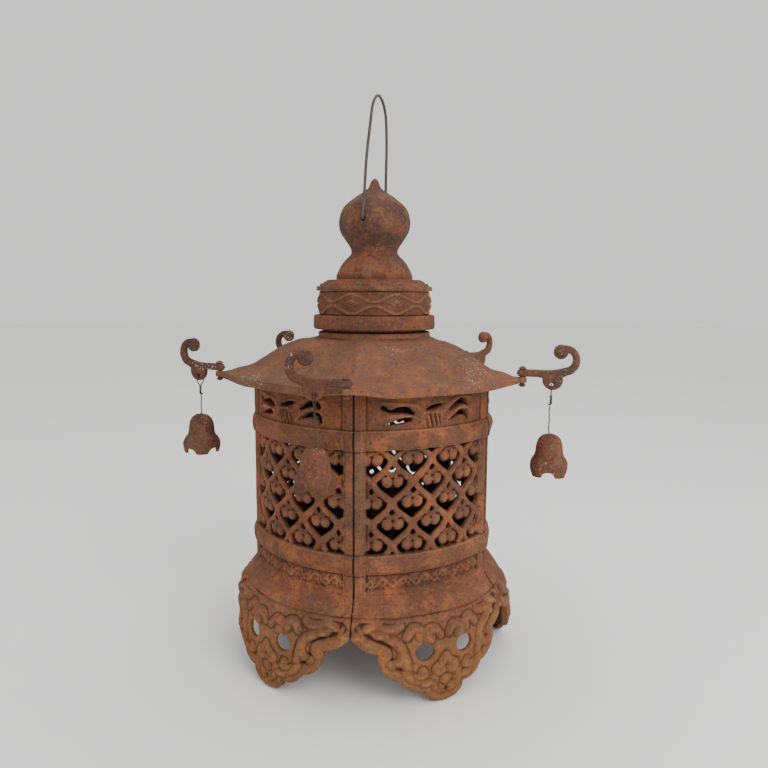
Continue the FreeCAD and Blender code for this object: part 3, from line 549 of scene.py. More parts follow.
# frieze slots: (along, height, half width) along each leaf
slots = [curvePoints(p, 5) for p in (
    [(10.9, 192.6, 0.3), (16.0, 195.6, 1.2), (21.5, 198.4, 1.9), (26.4, 199.3, 2.2), (29.3, 196.6, 1.4)],
    [(11.4, 187.2, 0.3), (17.5, 189.6, 1.2), (23.5, 191.4, 1.8), (28.6, 190.6, 2.0), (30.6, 187.0, 1.2)],
    [(-6.4, 194.9, 0.5), (-2.0, 196.3, 1.4), (3.4, 197.4, 1.5), (9.4, 198.8, 0.4)],
    [(-35.7, 197.8, 1.6), (-31.0, 195.2, 1.0), (-25.5, 196.0, 1.9), (-19.5, 195.6, 2.2), (-15.0, 193.4, 1.2)],
    [(-35.9, 185.6, 0.3), (-29.5, 187.2, 1.0), (-23.0, 188.6, 1.7), (-17.4, 189.4, 1.7)])]
leafRidges = [curvePoints(p, 5) for p in (
    [(9.0, 186.0, 0.5), (15.0, 191.4, 1.0), (24.0, 195.6, 1.2), (33.0, 192.6, 1.0), (34.6, 186.4, 0.6)],
    [(6.0, 192.0, 0.5), (12.0, 197.5, 1.0), (22.0, 202.6, 1.1), (33.0, 200.8, 1.0)],
    [(-37.0, 190.6, 0.6), (-28.0, 191.8, 1.1), (-18.0, 192.0, 1.0), (-10.0, 189.0, 0.6)],
    [(-36.0, 201.5, 0.6), (-26.0, 200.4, 1.0), (-14.0, 198.8, 1.0), (-8.0, 192.6, 0.6)],
    [(-10.0, 186.0, 0.5), (-9.0, 192.0, 0.8), (-4.0, 194.0, 0.8), (4.0, 193.4, 0.8), (8.0, 190.0, 0.5)])]


def footLine():
    cusp = chord + 10.0
    lobes = [((cusp, 50.5), (55.5, 41.6), (45.9, 38.0)), ((45.9, 38.0), (42.5, 24.6), (31.6, 18.5)),
             ((31.6, 18.5), (25.8, 11.8), (15.0, 10.0)), ((15.0, 10.0), (11.8, 3.2), (5.0, 0.6))]
    right = [p for lobe in lobes for p in arcThrough(*lobe)] + [(5.0, 0.6), (2.5, 0.05)]
    left = [(-x, z) for x, z in reversed(right)]
    return np.array(right + left + [(-cusp, 50.5), (-cusp, 120.0), (cusp, 120.0)])


foot = footLine()
# raised cloud scrolls on the foot: (across, height, half width)
cloudHalf = [curvePoints(p, 6) for p in (
    [(47.5, 51.0, 0.7), (39.5, 47.4, 1.0), (33.6, 44.2, 1.2), (30.6, 38.4, 1.3), (33.0, 32.0, 1.3),
     (38.0, 31.0, 1.0)],
    [(30.6, 39.0, 1.0), (28.4, 30.8, 1.3), (27.8, 24.2, 1.3), (22.4, 19.6, 1.3), (16.4, 21.0, 1.1),
     (17.6, 24.6, 0.9)],
    [(20.6, 18.6, 0.9), (15.4, 15.6, 1.1), (9.4, 17.4, 1.1), (8.2, 12.2, 1.0), (3.4, 8.8, 0.9)],
    [(3.0, 46.4, 0.8), (6.8, 50.4, 1.1), (12.2, 50.0, 1.1), (13.6, 46.4, 1.0), (10.4, 44.8, 0.9)],
    [(27.0, 48.0, 0.8), (22.4, 52.6, 1.0), (17.4, 51.0, 1.0), (18.6, 47.6, 0.9)],
    [(54.0, 53.0, 0.5), (45.0, 54.6, 0.8), (36.0, 52.6, 0.8), (30.0, 54.8, 0.6)],
    [(0.0, 32.0, 0.9), (3.4, 27.4, 1.1), (7.6, 24.8, 1.1), (6.2, 21.2, 0.9), (2.4, 22.4, 0.8)])]
clouds = cloudHalf + [line * (-1, 1, 1) for line in cloudHalf]


def scrollRun():  # small leaf scrolls in the strip under the lower band
    rng = np.random.default_rng(11)
    lines = []
    for k in range(-6, 7):
        x, side = 7.6 * k + rng.uniform(-1, 1), 1 if k % 2 else -1
        shape = np.array([(-5.0, -3.4, 0.4), (-2.2, -1.6, 0.7), (0.4, 1.8, 0.8), (3.2, 2.6, 0.8),
                          (4.4, 0.2, 0.7), (2.4, -1.4, 0.6), (0.9, 0.1, 0.5)])
        lines.append(curvePoints(shape * (1, side, 1) + (x, 79.3 + rng.uniform(-0.4, 0.4), 0), 4))
        lines.append(curvePoints(np.array([(-2.6, 3.6, 0.4), (-3.4, 1.2, 0.6), (-2.0, 0.2, 0.4)])
                                 * (1, side, 1) + (x, 79.3, 0), 4))
    return lines


scrolls = scrollRun()


def holeDistance(x, v, grow=0.0):
    best = np.full(np.shape(x), 1e3)
    for side in (-1, 1):
        dx = (x - side * panel["holeX"]) / (panel["holeHalf"][0] + grow)
        dz = (v - panel["holeZ"]) / (panel["holeHalf"][1] + grow)
        best = np.minimum(best, (np.hypot(dx, dz) - 1) * (sum(panel["holeHalf"]) / 2 + grow))
    return best


def onLattice(s, v, zone):
    return (v > zoneLow - 0.5) & (v < zoneHigh + 0.5) & (np.abs(s) < ribEdge - 0.4) & (zone == "lattice")


def outsideBox(s, v, halfLength, low, high):  # below 0 inside the rectangle
    return np.maximum(np.abs(s) - halfLength, np.abs(v - (low + high) / 2) - (high - low) / 2)


def panelMetal(zone):  # zone: "lattice", "open" for the doorway
    def metal(u, v):
        s = alongWall(u)
        limit = ribEdge - 1.1 if zone == "lattice" else ribEdge - 0.5
        edge = outsideBox(s, v, limit, zoneLow, zoneHigh)
        d = -edge
        if zone == "lattice":
            inZone = edge < 2.0
            bars = np.full(np.shape(s), 1e3)
            bars[inZone] = -heartLattice(s[inZone], v[inZone])[0]
            d = np.minimum(d, bars)
        d = np.maximum(d, -nearLines(s, v, slots))
        low = v < 72
        if np.any(low):
            r = baseRadius(u[low], v[low])
            x = r * np.sin(u[low] / panel["postRadius"])
            d[low] = np.maximum(np.maximum(insideShape(x, v[low], foot), -holeDistance(x, v[low])), -30)
        return d
    return metal


def panelFace(seed, zone):
    def face(u, v, d):
        s = alongWall(u)
        x = baseRadius(u, v) * np.sin(u / panel["postRadius"])
        # the tone paints light and shade into the rust: lower in grooves, beside steps, around scrolls and in the
        # panel joint (painted shade), higher on ridges, the bead and raised edges (painted highlight with edge
        # wear)
        tone = np.full(np.shape(u), 0.5)
        h = np.zeros(np.shape(u))
        fromJoint = jointU - np.abs(u)
        onRib = smooth(7.9, 7.3, fromJoint) * smooth(68.5, 72.0, v)
        step = smooth(5.9, 5.4, fromJoint)
        h += onRib * (0.9 + 0.95 * step)
        # light lines along the rib's two steps (painted highlight with edge wear), the rib slightly darker
        tone += onRib * (0.30 * bump(fromJoint - 7.2, 0.7) + 0.26 * bump(fromJoint - 5.2, 0.6) - 0.13)
        # painted shade: a dark line beside the foot of the rib
        tone -= 0.3 * bump(fromJoint - 8.3, 0.8) * (v > 72)
        for z in panel["bands"]:
            t = (v - z) / panel["bandHalf"]
            swell = np.sqrt(np.maximum(1 - t ** 2, 0)) * panel["bandProud"]
            swell = np.where(np.abs(t) < 1, np.maximum(swell, 0.9), 0)
            crease = 0.7 * bump(fromJoint - 8.4 - 1.8 * (1 - np.abs(t)), 0.9) * (np.abs(t) < 1)
            h += swell * (1 - 0.42 * onRib) - crease
            # band edges get a painted highlight, and the metal just outside the band gets painted shade
            tone += (0.07 * (np.abs(t) < 1) * (1 - onRib) + 0.3 * bump(np.abs(t) - 0.93, 0.08)
                     - 0.35 * bump(np.abs(t) - 1.07, 0.12))
        strip = (v > 73.2) & (v < 85.6) & (fromJoint > 7.6)
        run = np.full(np.shape(u), 1e3)
        run[strip] = nearLines(s[strip], v[strip], scrolls)
        knurl = roughGrain(s, v, 2.3, seed + 21)
        h += np.where(strip, 1.5 * smooth(0.7, -0.8, run) - 0.6 + 0.5 * knurl, 0)
        # scrolls lighter and the knurled ground between them darker: painted highlight and painted shade
        tone += np.where(strip, 0.50 * smooth(0.5, -0.6, run) - 0.24 + 0.16 * knurl, 0)
        h += 1.2 * bump(v - panel["bead"], 1.5) * (1 - onRib)
        tone += 0.34 * bump(v - panel["bead"] - 0.4, 1.2) * (1 - onRib)
        wander = panel["groove"] + 0.35 * grain(u, u * 0, 9.0, seed)
        h -= 0.75 * bump(v - wander, 1.0)
        # painted shade in the groove, of uneven strength
        tone -= (0.30 + 0.18 * grain(u, u * 0, 13.0, seed + 2)) * bump(v - wander, 1.1)
        h += 0.3 * bump(v - wander - 1.6, 1.2) + 0.25 * bump(v - wander + 1.7, 1.2)
        upper = (v > 183.5) & (fromJoint > 8.0)
        if np.any(upper):
            leaf = nearLines(s[upper], v[upper], leafRidges)
            cut = nearLines(s[upper], v[upper], slots)
            h[upper] += 1.1 * smooth(0.9, -0.6, leaf) + 0.6 * bump(cut - 0.9, 1.1)
            # leaf ridges and slot rims lighter and the rest of the frieze darker: painted highlight and painted
            # shade
            tone[upper] += 0.34 * smooth(0.9, -0.4, leaf) + 0.2 * bump(cut - 0.6, 0.8) - 0.16
            knot = bump(s[upper], 7.5) * bump(v[upper] - 188.0, 6.5)
            comb = np.cos(2 * math.pi * (s[upper] + 0.25 * (v[upper] - 188)) / 3.4)
            h[upper] += 1.5 * knot ** 0.5 * (0.25 + 0.75 * comb)
            tone[upper] += 0.6 * knot ** 0.5 * comb
        low = (v < 57.5)
        if np.any(low):
            border = insideShape(x[low], v[low], foot) * -1
            cloud = nearLines(x[low], v[low], clouds)
            hole = holeDistance(x[low], v[low])
            veins = np.cos((np.abs(x[low]) * 0.55 + v[low] * 0.85) * 0.95) * smooth(30, 50, np.abs(x[low]))
            veins = veins * smooth(42, 48, v[low])
            add = 1.3 * bump(border - 4.0, 5.6) - 0.9 * bump(border - 8.6, 1.2)
            add = add + 0.5 * bump(border - 10.8, 1.9) * smooth(50, 44, v[low])
            add = add + 1.7 * smooth(2.2, -0.8, cloud) - 0.8 * bump(cloud - 2.5, 1.0)
            add = add + 0.8 * bump(hole - 2.0, 2.4) + 0.8 * veins
            add = add + 0.3 * roughGrain(x[low], v[low], 5.0, seed + 31)
            h[low] += add * smooth(57.5, 55.0, v[low])
            # on the foot, clouds lighter and the grooves round them and inside the border darker: painted
            # highlight and painted shade
            tone[low] += (0.16 * smooth(1.2, -0.8, cloud) - 0.34 * bump(cloud - 2.5, 1.2)
                          + 0.1 * bump(border - 4.0, 4.6) - 0.3 * bump(border - 8.6, 1.3)
                          + 0.1 * bump(hole - 1.8, 2.0) + 0.2 * veins)
        inZone = onLattice(s, v, zone)
        bar = heartLattice(s[inZone], v[inZone])[1]
        h[inZone] += 2.3 * bar - 2.3
        # lattice bar tops lighter and bar roots darker: painted highlight and painted shade
        tone[inZone] += 0.62 * bar - 0.52
        rest = np.where(inZone, 1, np.clip(-d / 0.9, 0, 1))
        h -= 0.55 * (1 - np.sqrt(np.maximum(1 - (1 - rest) ** 2, 0)))
        h -= 0.5 * smooth(0.9, 0.0, fromJoint)
        # painted shade in the joint between neighbouring panels
        tone -= 0.35 * smooth(1.2, 0.1, fromJoint)
        h += 0.28 * roughGrain(u, v, 9.0, seed) + 0.16 * roughGrain(u, v, 2.6, seed + 5)
        tone += 0.06 * roughGrain(u, v, 5.0, seed + 9)
        return h, tone
    return face


def panelBack(zone):
    def back(u, v, d):
        s = alongWall(u)
        inZone = onLattice(s, v, zone)
        depth = np.clip(-d / 2.2, 0, 1)
        x = baseRadius(u, v) * np.sin(u / panel["postRadius"])
        thin = 1.9 * smooth(9.0, 0.5, holeDistance(x, v)) * (v < 60)
        return -panel["wall"] + thin + np.where(inZone, 0.9 * (1 - depth) ** 2 + 0.3, 0)
    return back


ledge = {"steps": 24, "share": 0.985, "corners": [(79.0, 66.0), (90.5, 66.0), (88.0, 69.0), (79.0, 69.0)]}


def panLedge(azimuth):  # the ledge inside a panel that the fire pan is drawn up against
    steps, corners = ledge["steps"], ledge["corners"]
    a = np.linspace(-half * ledge["share"], half * ledge["share"], steps)
    points = np.array([(r * math.sin(k), -r * math.cos(k), z) for k in a for r, z in corners])
    faces = [(4 * k + c, 4 * k + (c + 1) % 4, 4 * k + 4 + (c + 1) % 4, 4 * k + 4 + c)
             for k in range(steps - 1) for c in range(4)]
    faces += [(3, 2, 1, 0), tuple(4 * (steps - 1) + c for c in range(4))]
    return spun(points, azimuth), faces


def makePanels():
    names = ["panel_front_right", "panel_right", "panel_rear", "panel_left", "panel_front_left"]
    edge = jointU - panel["gap"] / 2 - 0.05
    columns = int(round(2 * edge / panel["cell"]))
    u = np.linspace(-edge, edge, columns + 1)
    v = np.linspace(0.0, panel["top"], int(round(panel["top"] / panel["cell"])) + 1)
    for k, name in enumerate(names):
        azimuth = sector / 2 + k * sector
        zone = "open" if name == "panel_rear" else "lattice"
        cast = castSheet(u, v, panelMetal(zone), wallPlace(azimuth), panelFace(31 * k + 3, zone),
                         panelBack(zone))
        points, faces = gather([cast[:2], panLedge(azimuth)])
        # the ledge gets tone 0.3: painted shade inside the lantern
        tone = np.concatenate([cast[2], np.full(len(points) - len(cast[2]), 0.3)])
        addPiece("cast_" + name, points, faces, "lantern", "panel", [name], tone)
    print("panels cast")


# strike pad: its near and far edge and its depth, measured from the latch's pivot
door = {"endGap": 0.6, "sideGap": 1.1, "frame": 4.0, "jamb": 0.5, "strikeNear": 4.6, "strikeFar": 9.3,
        "strikeDeep": -4.6, "strikeFace": -0.3, "strikeHalf": 4.0, "strikeRound": 0.35}


def makeDoor():
    frameWidth = door["frame"]
    limit = ribEdge - door["jamb"] - door["sideGap"]
    low, high = zoneLow + door["endGap"], zoneHigh - door["endGap"]
    u = np.linspace(-limit * 1.03, limit * 1.03, 124)
    v = np.linspace(low, high, 92)

    def metal(u, v):
        s = alongWall(u)
        hole = outsideBox(s, v, limit, low, high) + frameWidth
        return np.maximum(np.minimum(-hole, -heartLattice(s, v)[0]), np.abs(s) - limit)

    def face(u, v, d):
        s = alongWall(u)
        hole = outsideBox(s, v, limit, low, high) + frameWidth
        bar = np.where(hole < 0, heartLattice(s, v)[1], 0.8)
        # tone: bar tops lighter and the lowered ground between bars darkest: painted highlight and painted shade
        return 1.6 * bar - 1.6 + 0.2 * roughGrain(u, v, 6.0, 77), 0.12 + 0.45 * bar

    def back(u, v, d):
        return -panel["wall"] + 0.5 * np.clip(1 + d / 1.85, 0, 1) ** 2

    azimuth = sector / 2 + 2 * sector
    cast = castSheet(u, v, metal, wallPlace(azimuth), face, back)
    addPiece("cast_door", cast[0], cast[1], "door_leaf", "panel", ["door"], cast[2])
    latchPivot = Vector(joints["latch_turn"]["pos_m"]) / mm
    out = Vector(joints["latch_turn"]["axis"])
    side = out.cross(Vector((0, 0, 1)))
    near, far, deep, front = (door[key] for key in ("strikeNear", "strikeFar", "strikeDeep", "strikeFace"))
    pad = []
    for z in np.linspace(-door["strikeHalf"], door["strikeHalf"], 9):
        shrink = door["strikeRound"] * (abs(z) / door["strikeHalf"]) ** 6
        for w, t in ((near, deep), (far, deep), (far - shrink, front - 0.2), (far - 0.4, front - shrink),
                     (near + 0.4, front - shrink), (near + shrink, front - 0.2)):
            pad.append(latchPivot + side * w + out * t + Vector((0, 0, z)))
    faces = [(6 * k + c, 6 * k + (c + 1) % 6, 6 * k + 6 + (c + 1) % 6, 6 * k + 6 + c)
             for k in range(8) for c in range(6)] + [tuple(range(5, -1, -1)), tuple(range(48, 54))]
    addPiece("door_strike", [tuple(p) for p in pad], faces, "door_leaf", "panel", (),
             np.full(len(pad), 0.55))


makePanels()
makeDoor()
print("door cast")


# roof

roof = {"crown": 239.0, "flange": 42.0, "flangeTop": 243.0, "thick": 3.0, "bore": 30.0,
        "hip": [(44.3, 239.0), (57.8, 236.3), (68.6, 232.5), (77.6, 227.3), (85.5, 222.3), (92.3, 218.1),
                (100.9, 216.0), (108.4, 214.3), (115.5, 213.2)],
        "eaveTop": 211.6, "eaveLow": 205.4, "lift": 2.6, "lowLift": 4.9, "corner": 117.6,
        "boss": [(0, -0.3), (2.5, -0.35), (2.9, -1.0), (3.2, -2.4), (3.0, -4.2), (0, -4.2)]}


def makeRoof():
    perSide = 36
    azimuth = np.linspace(0, 360, sides * perSide, endpoint=False)
    fromCorner = np.abs((azimuth + sector / 2) % sector - sector / 2)  # 0 at a corner, 36 half-way
    fromMid = sector / 2 - fromCorner
    hip = curvePoints(roof["hip"], 5)
    toCorner = smooth(16.0, 0.0, fromCorner) * 0.55 + 0.45 * (fromMid / (sector / 2)) ** 3
    rows = []  # (corner radius, height at mid-edge, lift at the corner, roundness, relief share)
    rows += [(roof["bore"], 236.2, 0, 1, 0), (roof["bore"], roof["flangeTop"] - 0.3, 0, 1, 0)]
    for r, z in ((roof["bore"] + 0.4, roof["flangeTop"]), (roof["flange"] - 0.6, roof["flangeTop"]),
                 (roof["flange"], roof["flangeTop"] - 0.6), (roof["flange"], roof["crown"] + 0.9),
                 (roof["flange"] + 0.7, roof["crown"] + 0.3)):
        rows.append((r, z, 0, 1, 0))
    for r, z in hip:
        edge = smooth(96.0, 116.0, r)
        rows.append((r, z - 2.0 * edge, roof["lift"] * edge, smooth(62.0, 44.0, r) * 0.7, 1))
    corner = roof["corner"]
    rows += [(corner - 0.5, roof["eaveTop"] - 0.35, roof["lift"], 0, 1),
             (corner, roof["eaveTop"] - 1.1, roof["lift"], 0, 1),
             (corner - 0.55, (roof["eaveTop"] + roof["eaveLow"]) / 2,
              (roof["lift"] + roof["lowLift"]) / 2, 0, 1),
             (corner - 0.1, roof["eaveLow"] + 0.9, roof["lowLift"], 0, 1),
             (corner - 0.7, roof["eaveLow"] + 0.1, roof["lowLift"], 0, 1),
             (corner - 3.6, roof["eaveLow"] + 0.2, roof["lowLift"], 0, 0.4),
             (corner - 4.4, roof["eaveLow"] + 1.4, roof["lowLift"] * 0.6, 0, 0)]
    for r, z in hip[::-1]:
        if r > corner - 9:
            continue
        low = z - 2.0 * smooth(96.0, 116.0, r) - roof["thick"]
        rows.append((r - 1.4, low, 0, smooth(66.0, 44.0, r) * 0.75, 0))
    rows.append((roof["bore"] + 1.0, 236.0, 0, 1, 0))
    points = []
    a = np.radians(azimuth)
    for r, z, lift, roundness, share in rows:
        polygon = r * math.cos(half) / np.cos(np.radians(fromMid))
        polygon = polygon - 0.9 * bump(fromCorner, 3.2) * (r > 60)
        radius = polygon * (1 - roundness) + r * roundness
        height = np.full(len(a), z) + lift * toCorner
        x, y = radius * np.sin(a), -radius * np.cos(a)
        uneven = roughGrain(x, y, 14.0, 201) * 0.55 + roughGrain(x, y, 4.0, 207) * 0.16
        hipRidge = 1.1 * bump(np.radians(fromCorner) * r, 5.5) * smooth(46, 60, r) * smooth(112, 100, r)
        height = height + share * (uneven * (0.4 if r > 112 else 1.0) + hipRidge)
        radius = radius + share * 0.25 * roughGrain(azimuth * 1.9, np.full(len(a), z), 5.0, 212)
        points.append(np.stack([radius * np.sin(a), -radius * np.cos(a), height], -1))
    n, m = len(rows), len(a)
    faces = [((i + 1) % n * m + k, (i + 1) % n * m + (k + 1) % m, i * m + (k + 1) % m, i * m + k)
             for i in range(n) for k in range(m)]
    parts = [(np.vstack(points), faces)]
    for k in range(sides):  # the seat under each bracket and the boss below it
        pivot = Vector(joints["bracket_%d_swivel" % (k + 1)]["pos_m"]) / mm
        seat, faces = turnedPart(roof["boss"], 28)
        parts.append((seat + (pivot.x, pivot.y, pivot.z), faces))
    points, faces = gather(parts)
    addPiece("cast_roof", points, faces, "lantern", "roof", ["roof"], None, 42)
    print("roof cast")


makeRoof()


# collar and finial

collar = {"ringLow": 245.0, "ringTop": 255.4, "ring": 45.7, "bandTop": 273.0, "waist": 41.3,
          "belly": 43.1, "periods": 8, "phase": 30.4, "inner": 36.0, "ribbons": ((259.6, -2.7), (268.0, 2.8)),
          "diamond": (265.4, 8.4, 4.3),
          "cap": [(0, 273.05), (34.9, 273.05), (43.0, 273.05), (43.35, 273.6), (43.3, 275.8), (42.9, 276.4),
                  (41.2, 276.6), (40.9, 277.0), (40.6, 278.1), (40.2, 278.5), (38.4, 278.7), (38.1, 279.1),
                  (37.6, 279.9), (36.0, 280.2), (35.6, 280.9), (34.6, 281.25), (0, 281.25)]}


def makeCollar():
    low, top, ring = collar["ringLow"], collar["ringTop"], collar["ring"]
    profile = [(30.2, 243.05), (36.8, 243.05), (36.8, low - 0.2), (37.4, low), (ring - 0.9, low + 0.05),
               (ring - 0.2, low + 0.8), (ring, low + 3.0), (ring - 0.15, top - 3.0), (ring - 0.3, top - 0.8),
               (ring - 1.1, top - 0.05), (36.3, top - 0.02), (30.2, low), (30.2, 243.05)]
    points, faces = turnedPart(profile, 144, 0.22, 5)
    addPiece("cast_neck_ring", points, faces, "lantern", "plainCollar", ["neck_ring"])

    turn = collar["waist"]
    u = np.linspace(-math.pi * turn, math.pi * turn, 433)
    v = np.linspace(top + 0.02, collar["bandTop"] - 0.02, 31)

    def metal(u, v):
        return np.full(np.shape(u), -9.0)

    def waveDistance(u, v, middle, swing):
        a = (u / turn - math.radians(collar["phase"])) * collar["periods"]
        z = middle + swing * np.cos(a)
        slope = swing * np.sin(a) * collar["periods"] / turn
        return np.abs(v - z) / np.sqrt(1 + slope ** 2)

    def face(u, v, d):
        t = (v - (top + collar["bandTop"]) / 2) / ((collar["bandTop"] - top) / 2)
        h = (collar["belly"] - collar["waist"]) * (1 - t ** 2)
        period = 2 * math.pi / collar["periods"]
        a = (u / turn - math.radians(collar["phase"]) + period / 2) % period - period / 2
        x = a * turn
        middle, halfLong, halfHigh = collar["diamond"]
        diamond = np.abs(x) / halfLong + np.abs(v - middle) / halfHigh
        ribbon = np.minimum(*(waveDistance(u, v, z, swing) for z, swing in collar["ribbons"]))
        raised = smooth(1.35, 0.6, ribbon) + 0.75 * smooth(0.16, 0.06, np.abs(diamond - 0.86))
        raised = raised + 0.9 * smooth(0.46, 0.3, diamond)
        line = smooth(1.3, 0.5, np.abs(v - collar["bandTop"] + 1.0)) + smooth(1.3, 0.5, np.abs(v - top - 0.9))
        hump = bump(np.abs(x) - period * turn / 2, 6.0) * bump(v - 257.6, 2.6)
        h = h - 0.9 + 0.85 * np.clip(raised, 0, 1.2) + 0.5 * line + 0.5 * hump
        h = h + 0.18 * roughGrain(u, v, 3.0, 91)
        # tone: raised ribbons and diamonds lighter and the ground between them darker: painted highlight and
        # painted shade
        return h, 0.33 + 0.36 * np.clip(raised, 0, 1) + 0.1 * line + 0.05 * roughGrain(u, v, 4.0, 92)

    def back(u, v, d):
        return np.full(np.shape(u), collar["inner"] - turn)

    def place(u, v, h):
        a, r = u / turn, turn + h
        return np.stack([r * np.sin(a), -r * np.cos(a), v], -1)

    cast = castSheet(u, v, metal, place, face, back, closed=True)
    addPiece("cast_relief_band", cast[0], cast[1], "lantern", "collar", ["relief_band"],
             cast[2])

    points, faces = turnedPart(collar["cap"], 144, 0.2, 7)
    addPiece("cast_stepped_cap", points, faces, "lantern", "plainCollar", ["stepped_cap"])
    print("collar cast")


makeCollar()


finial = {"base": [(28.6, 281.3), (28.6, 284.0), (27.9, 286.2), (26.4, 289.2), (23.9, 293.4), (20.9, 296.8),
                   (18.6, 299.0), (17.5, 301.0), (17.3, 301.85)],
          "jewel": [(17.3, 301.95), (17.9, 304.5), (21.9, 310.6), (25.7, 317.3), (26.7, 324.4), (23.6, 333.6),
                    (15.6, 340.8), (8.3, 345.8), (5.2, 348.2), (3.9, 350.6), (3.0, 352.8), (1.7, 354.6),
                    (0.5, 355.4)],
          "bailHole": 1.75, "drillReach": 40}


def makeFinial():
    base = curvePoints(finial["base"], 4)
    points, faces = turnedPart([(0, 281.3)] + [tuple(p) for p in base] + [(0, 301.88)], 120, 0.35, 15)
    addPiece("cast_finial_base", points, faces, "lantern", "jewelBase", ["finial_base"])

    line = curvePoints(finial["jewel"], 4)
    points, faces = turnedPart([(0, 301.95)] + [tuple(p) for p in line] + [(0, 355.5)], 128, 0.4, 23)
    piece = addPiece("cast_finial_jewel", points, faces, "lantern", "jewel", ["finial_jewel"])
    axis = Vector(joints["bail_swing"]["axis"])
    centre = Vector(joints["bail_swing"]["pos_m"])
    drill = bpy.data.meshes.new("drill")
    reach = finial["drillReach"]
    cut, cutFaces = roundWire([centre / mm + axis * t for t in (-reach, 0, reach)], finial["bailHole"], 20)
    drill.from_pydata([tuple(p * mm) for p in cut], [], cutFaces)
    tool = bpy.data.objects.new("drill", drill)
    bpy.context.scene.collection.objects.link(tool)
    modifier = piece.modifiers.new("bailHoles", "BOOLEAN")
    modifier.object, modifier.operation, modifier.solver = tool, "DIFFERENCE", "EXACT"
    cutMesh = bpy.data.meshes.new_from_object(piece.evaluated_get(bpy.context.evaluated_depsgraph_get()))
    piece.modifiers.clear()
    piece.data = cutMesh
    bpy.data.objects.remove(tool)
    piece.data.set_sharp_from_angle(angle=math.radians(40))
    piece.data.materials.clear()
    piece.data.materials.append(looks["jewel"])
    print("finial cast")


makeFinial()


# bail

bail = {"halfWidth": 28.5, "arc": 18.5, "height": 89.5, "bend": 2.0, "tail": 18.0, "wire": 1.05, "bow": 0.55,
        "wave": 0.35}


def makeBail():
    centre = Vector(joints["bail_swing"]["pos_m"]) / mm
    across = Vector(joints["bail_swing"]["axis"])
    top = next(m for m in frame["record"]["mounts"] if m["name"] == "hanging_point")
    up = (Vector(top["pos_m"]) / mm - centre).normalized()
    sideways = up.cross(across)
    slope = math.atan((bail["halfWidth"] - bail["arc"]) / (bail["height"] - bail["arc"]))
    arcCentreHeight = bail["height"] - bail["arc"]
    right = [(bail["tail"], 0.0), (bail["halfWidth"] - 2.2, 0.0)]
    turn = math.pi / 2 - slope
    setback = bail["bend"] * math.tan(turn / 2)
    start = bail["halfWidth"] - setback
    for k in range(1, 7):
        a = turn * k / 6
        right.append((start + bail["bend"] * math.sin(a), bail["bend"] * (1 - math.cos(a))))
    bendX, bendZ = right[-1]
    shoulderX = bail["arc"] * math.cos(slope)
    shoulderZ = arcCentreHeight + bail["arc"] * math.sin(slope)
    for k in range(1, 13):
        t = k / 12
        bow = bail["bow"] * math.sin(math.pi * t)
        right.append((bendX + (shoulderX - bendX) * t + bow, bendZ + (shoulderZ - bendZ) * t))
    for k in range(1, 12):
        a = slope + (math.pi / 2 - slope) * k / 11
        right.append((bail["arc"] * math.cos(a), arcCentreHeight + bail["arc"] * math.sin(a)))
    left = [(-x, z) for x, z in reversed(right[:-1])]
    line = []
    for x, z in right + left:
        wave = bail["wave"] * math.sin(z * 0.09 + (0.8 if x > 0 else 2.4)) * min(1.0, z / 12)
        line.append(centre + across * x + up * z + sideways * wave)
    points, faces = roundWire(line, bail["wire"], 12)
    addPiece("bent_bail", points, faces, "handle", "bail", ["bail"])
    print("bail bent")


makeBail()


# scroll brackets, bells and their wires

bracket = {"thick": 2.5, "cell": 0.55, "hole": (19.9, -5.0, 1.3), "knob": (25.6, 17.8, 5.0),
           "scroll": (28.0, 12.4, 8.0), "lug": (20.7, -1.6, 7.0), "lugTop": 3.0, "gusset": (25.5, 3.2, 5.5),
           "knobHeight": 3.6, "edge": 1.25}
bell = {"height": 29.0, "wall": 1.6, "notchHalf": 4.9, "notchRise": 4.2, "mouth": 12.3,
        "profile": [(1.25, -0.02), (3.4, -0.35), (6.2, -1.9), (8.2, -4.8), (9.1, -8.4), (9.5, -12.2),
                    (10.2, -15.2), (11.9, -17.6), (13.1, -20.4), (13.35, -23.4), (12.9, -26.2),
                    (12.1, -28.9)]}
hanger = {"wire": 0.42, "twistRadius": 0.55, "twistTop": 7.4, "twistStep": 0.38, "turns": 17,
          "singleTop": 12.6,
          "loop": [(0.9, 3.2), (-0.2, 3.8), (-1.0, 3.2), (-0.2, 2.6)]}  # (along, down) inside the bell


def bracketLines():
    cx, cz, r = bracket["scroll"]
    stem = [(20.0, 2.5, 2.6), (24.4, 3.0, 2.8)]
    for a in range(-62, 118, 12):
        t = (a + 62) / 180
        stem.append((cx + (r + 0.25 - 0.5 * t) * math.cos(math.radians(a)),
                     cz + (r + 0.25 - 0.5 * t) * math.sin(math.radians(a)), 2.75 - 0.7 * t))
    stem.append((26.4, 19.2, 2.2))
    return [curvePoints([(-1.2, 2.6, 2.6), (6.0, 2.6, 2.55), (14.0, 2.5, 2.5), (21.0, 2.5, 2.6)], 3),
            curvePoints(stem, 2)]


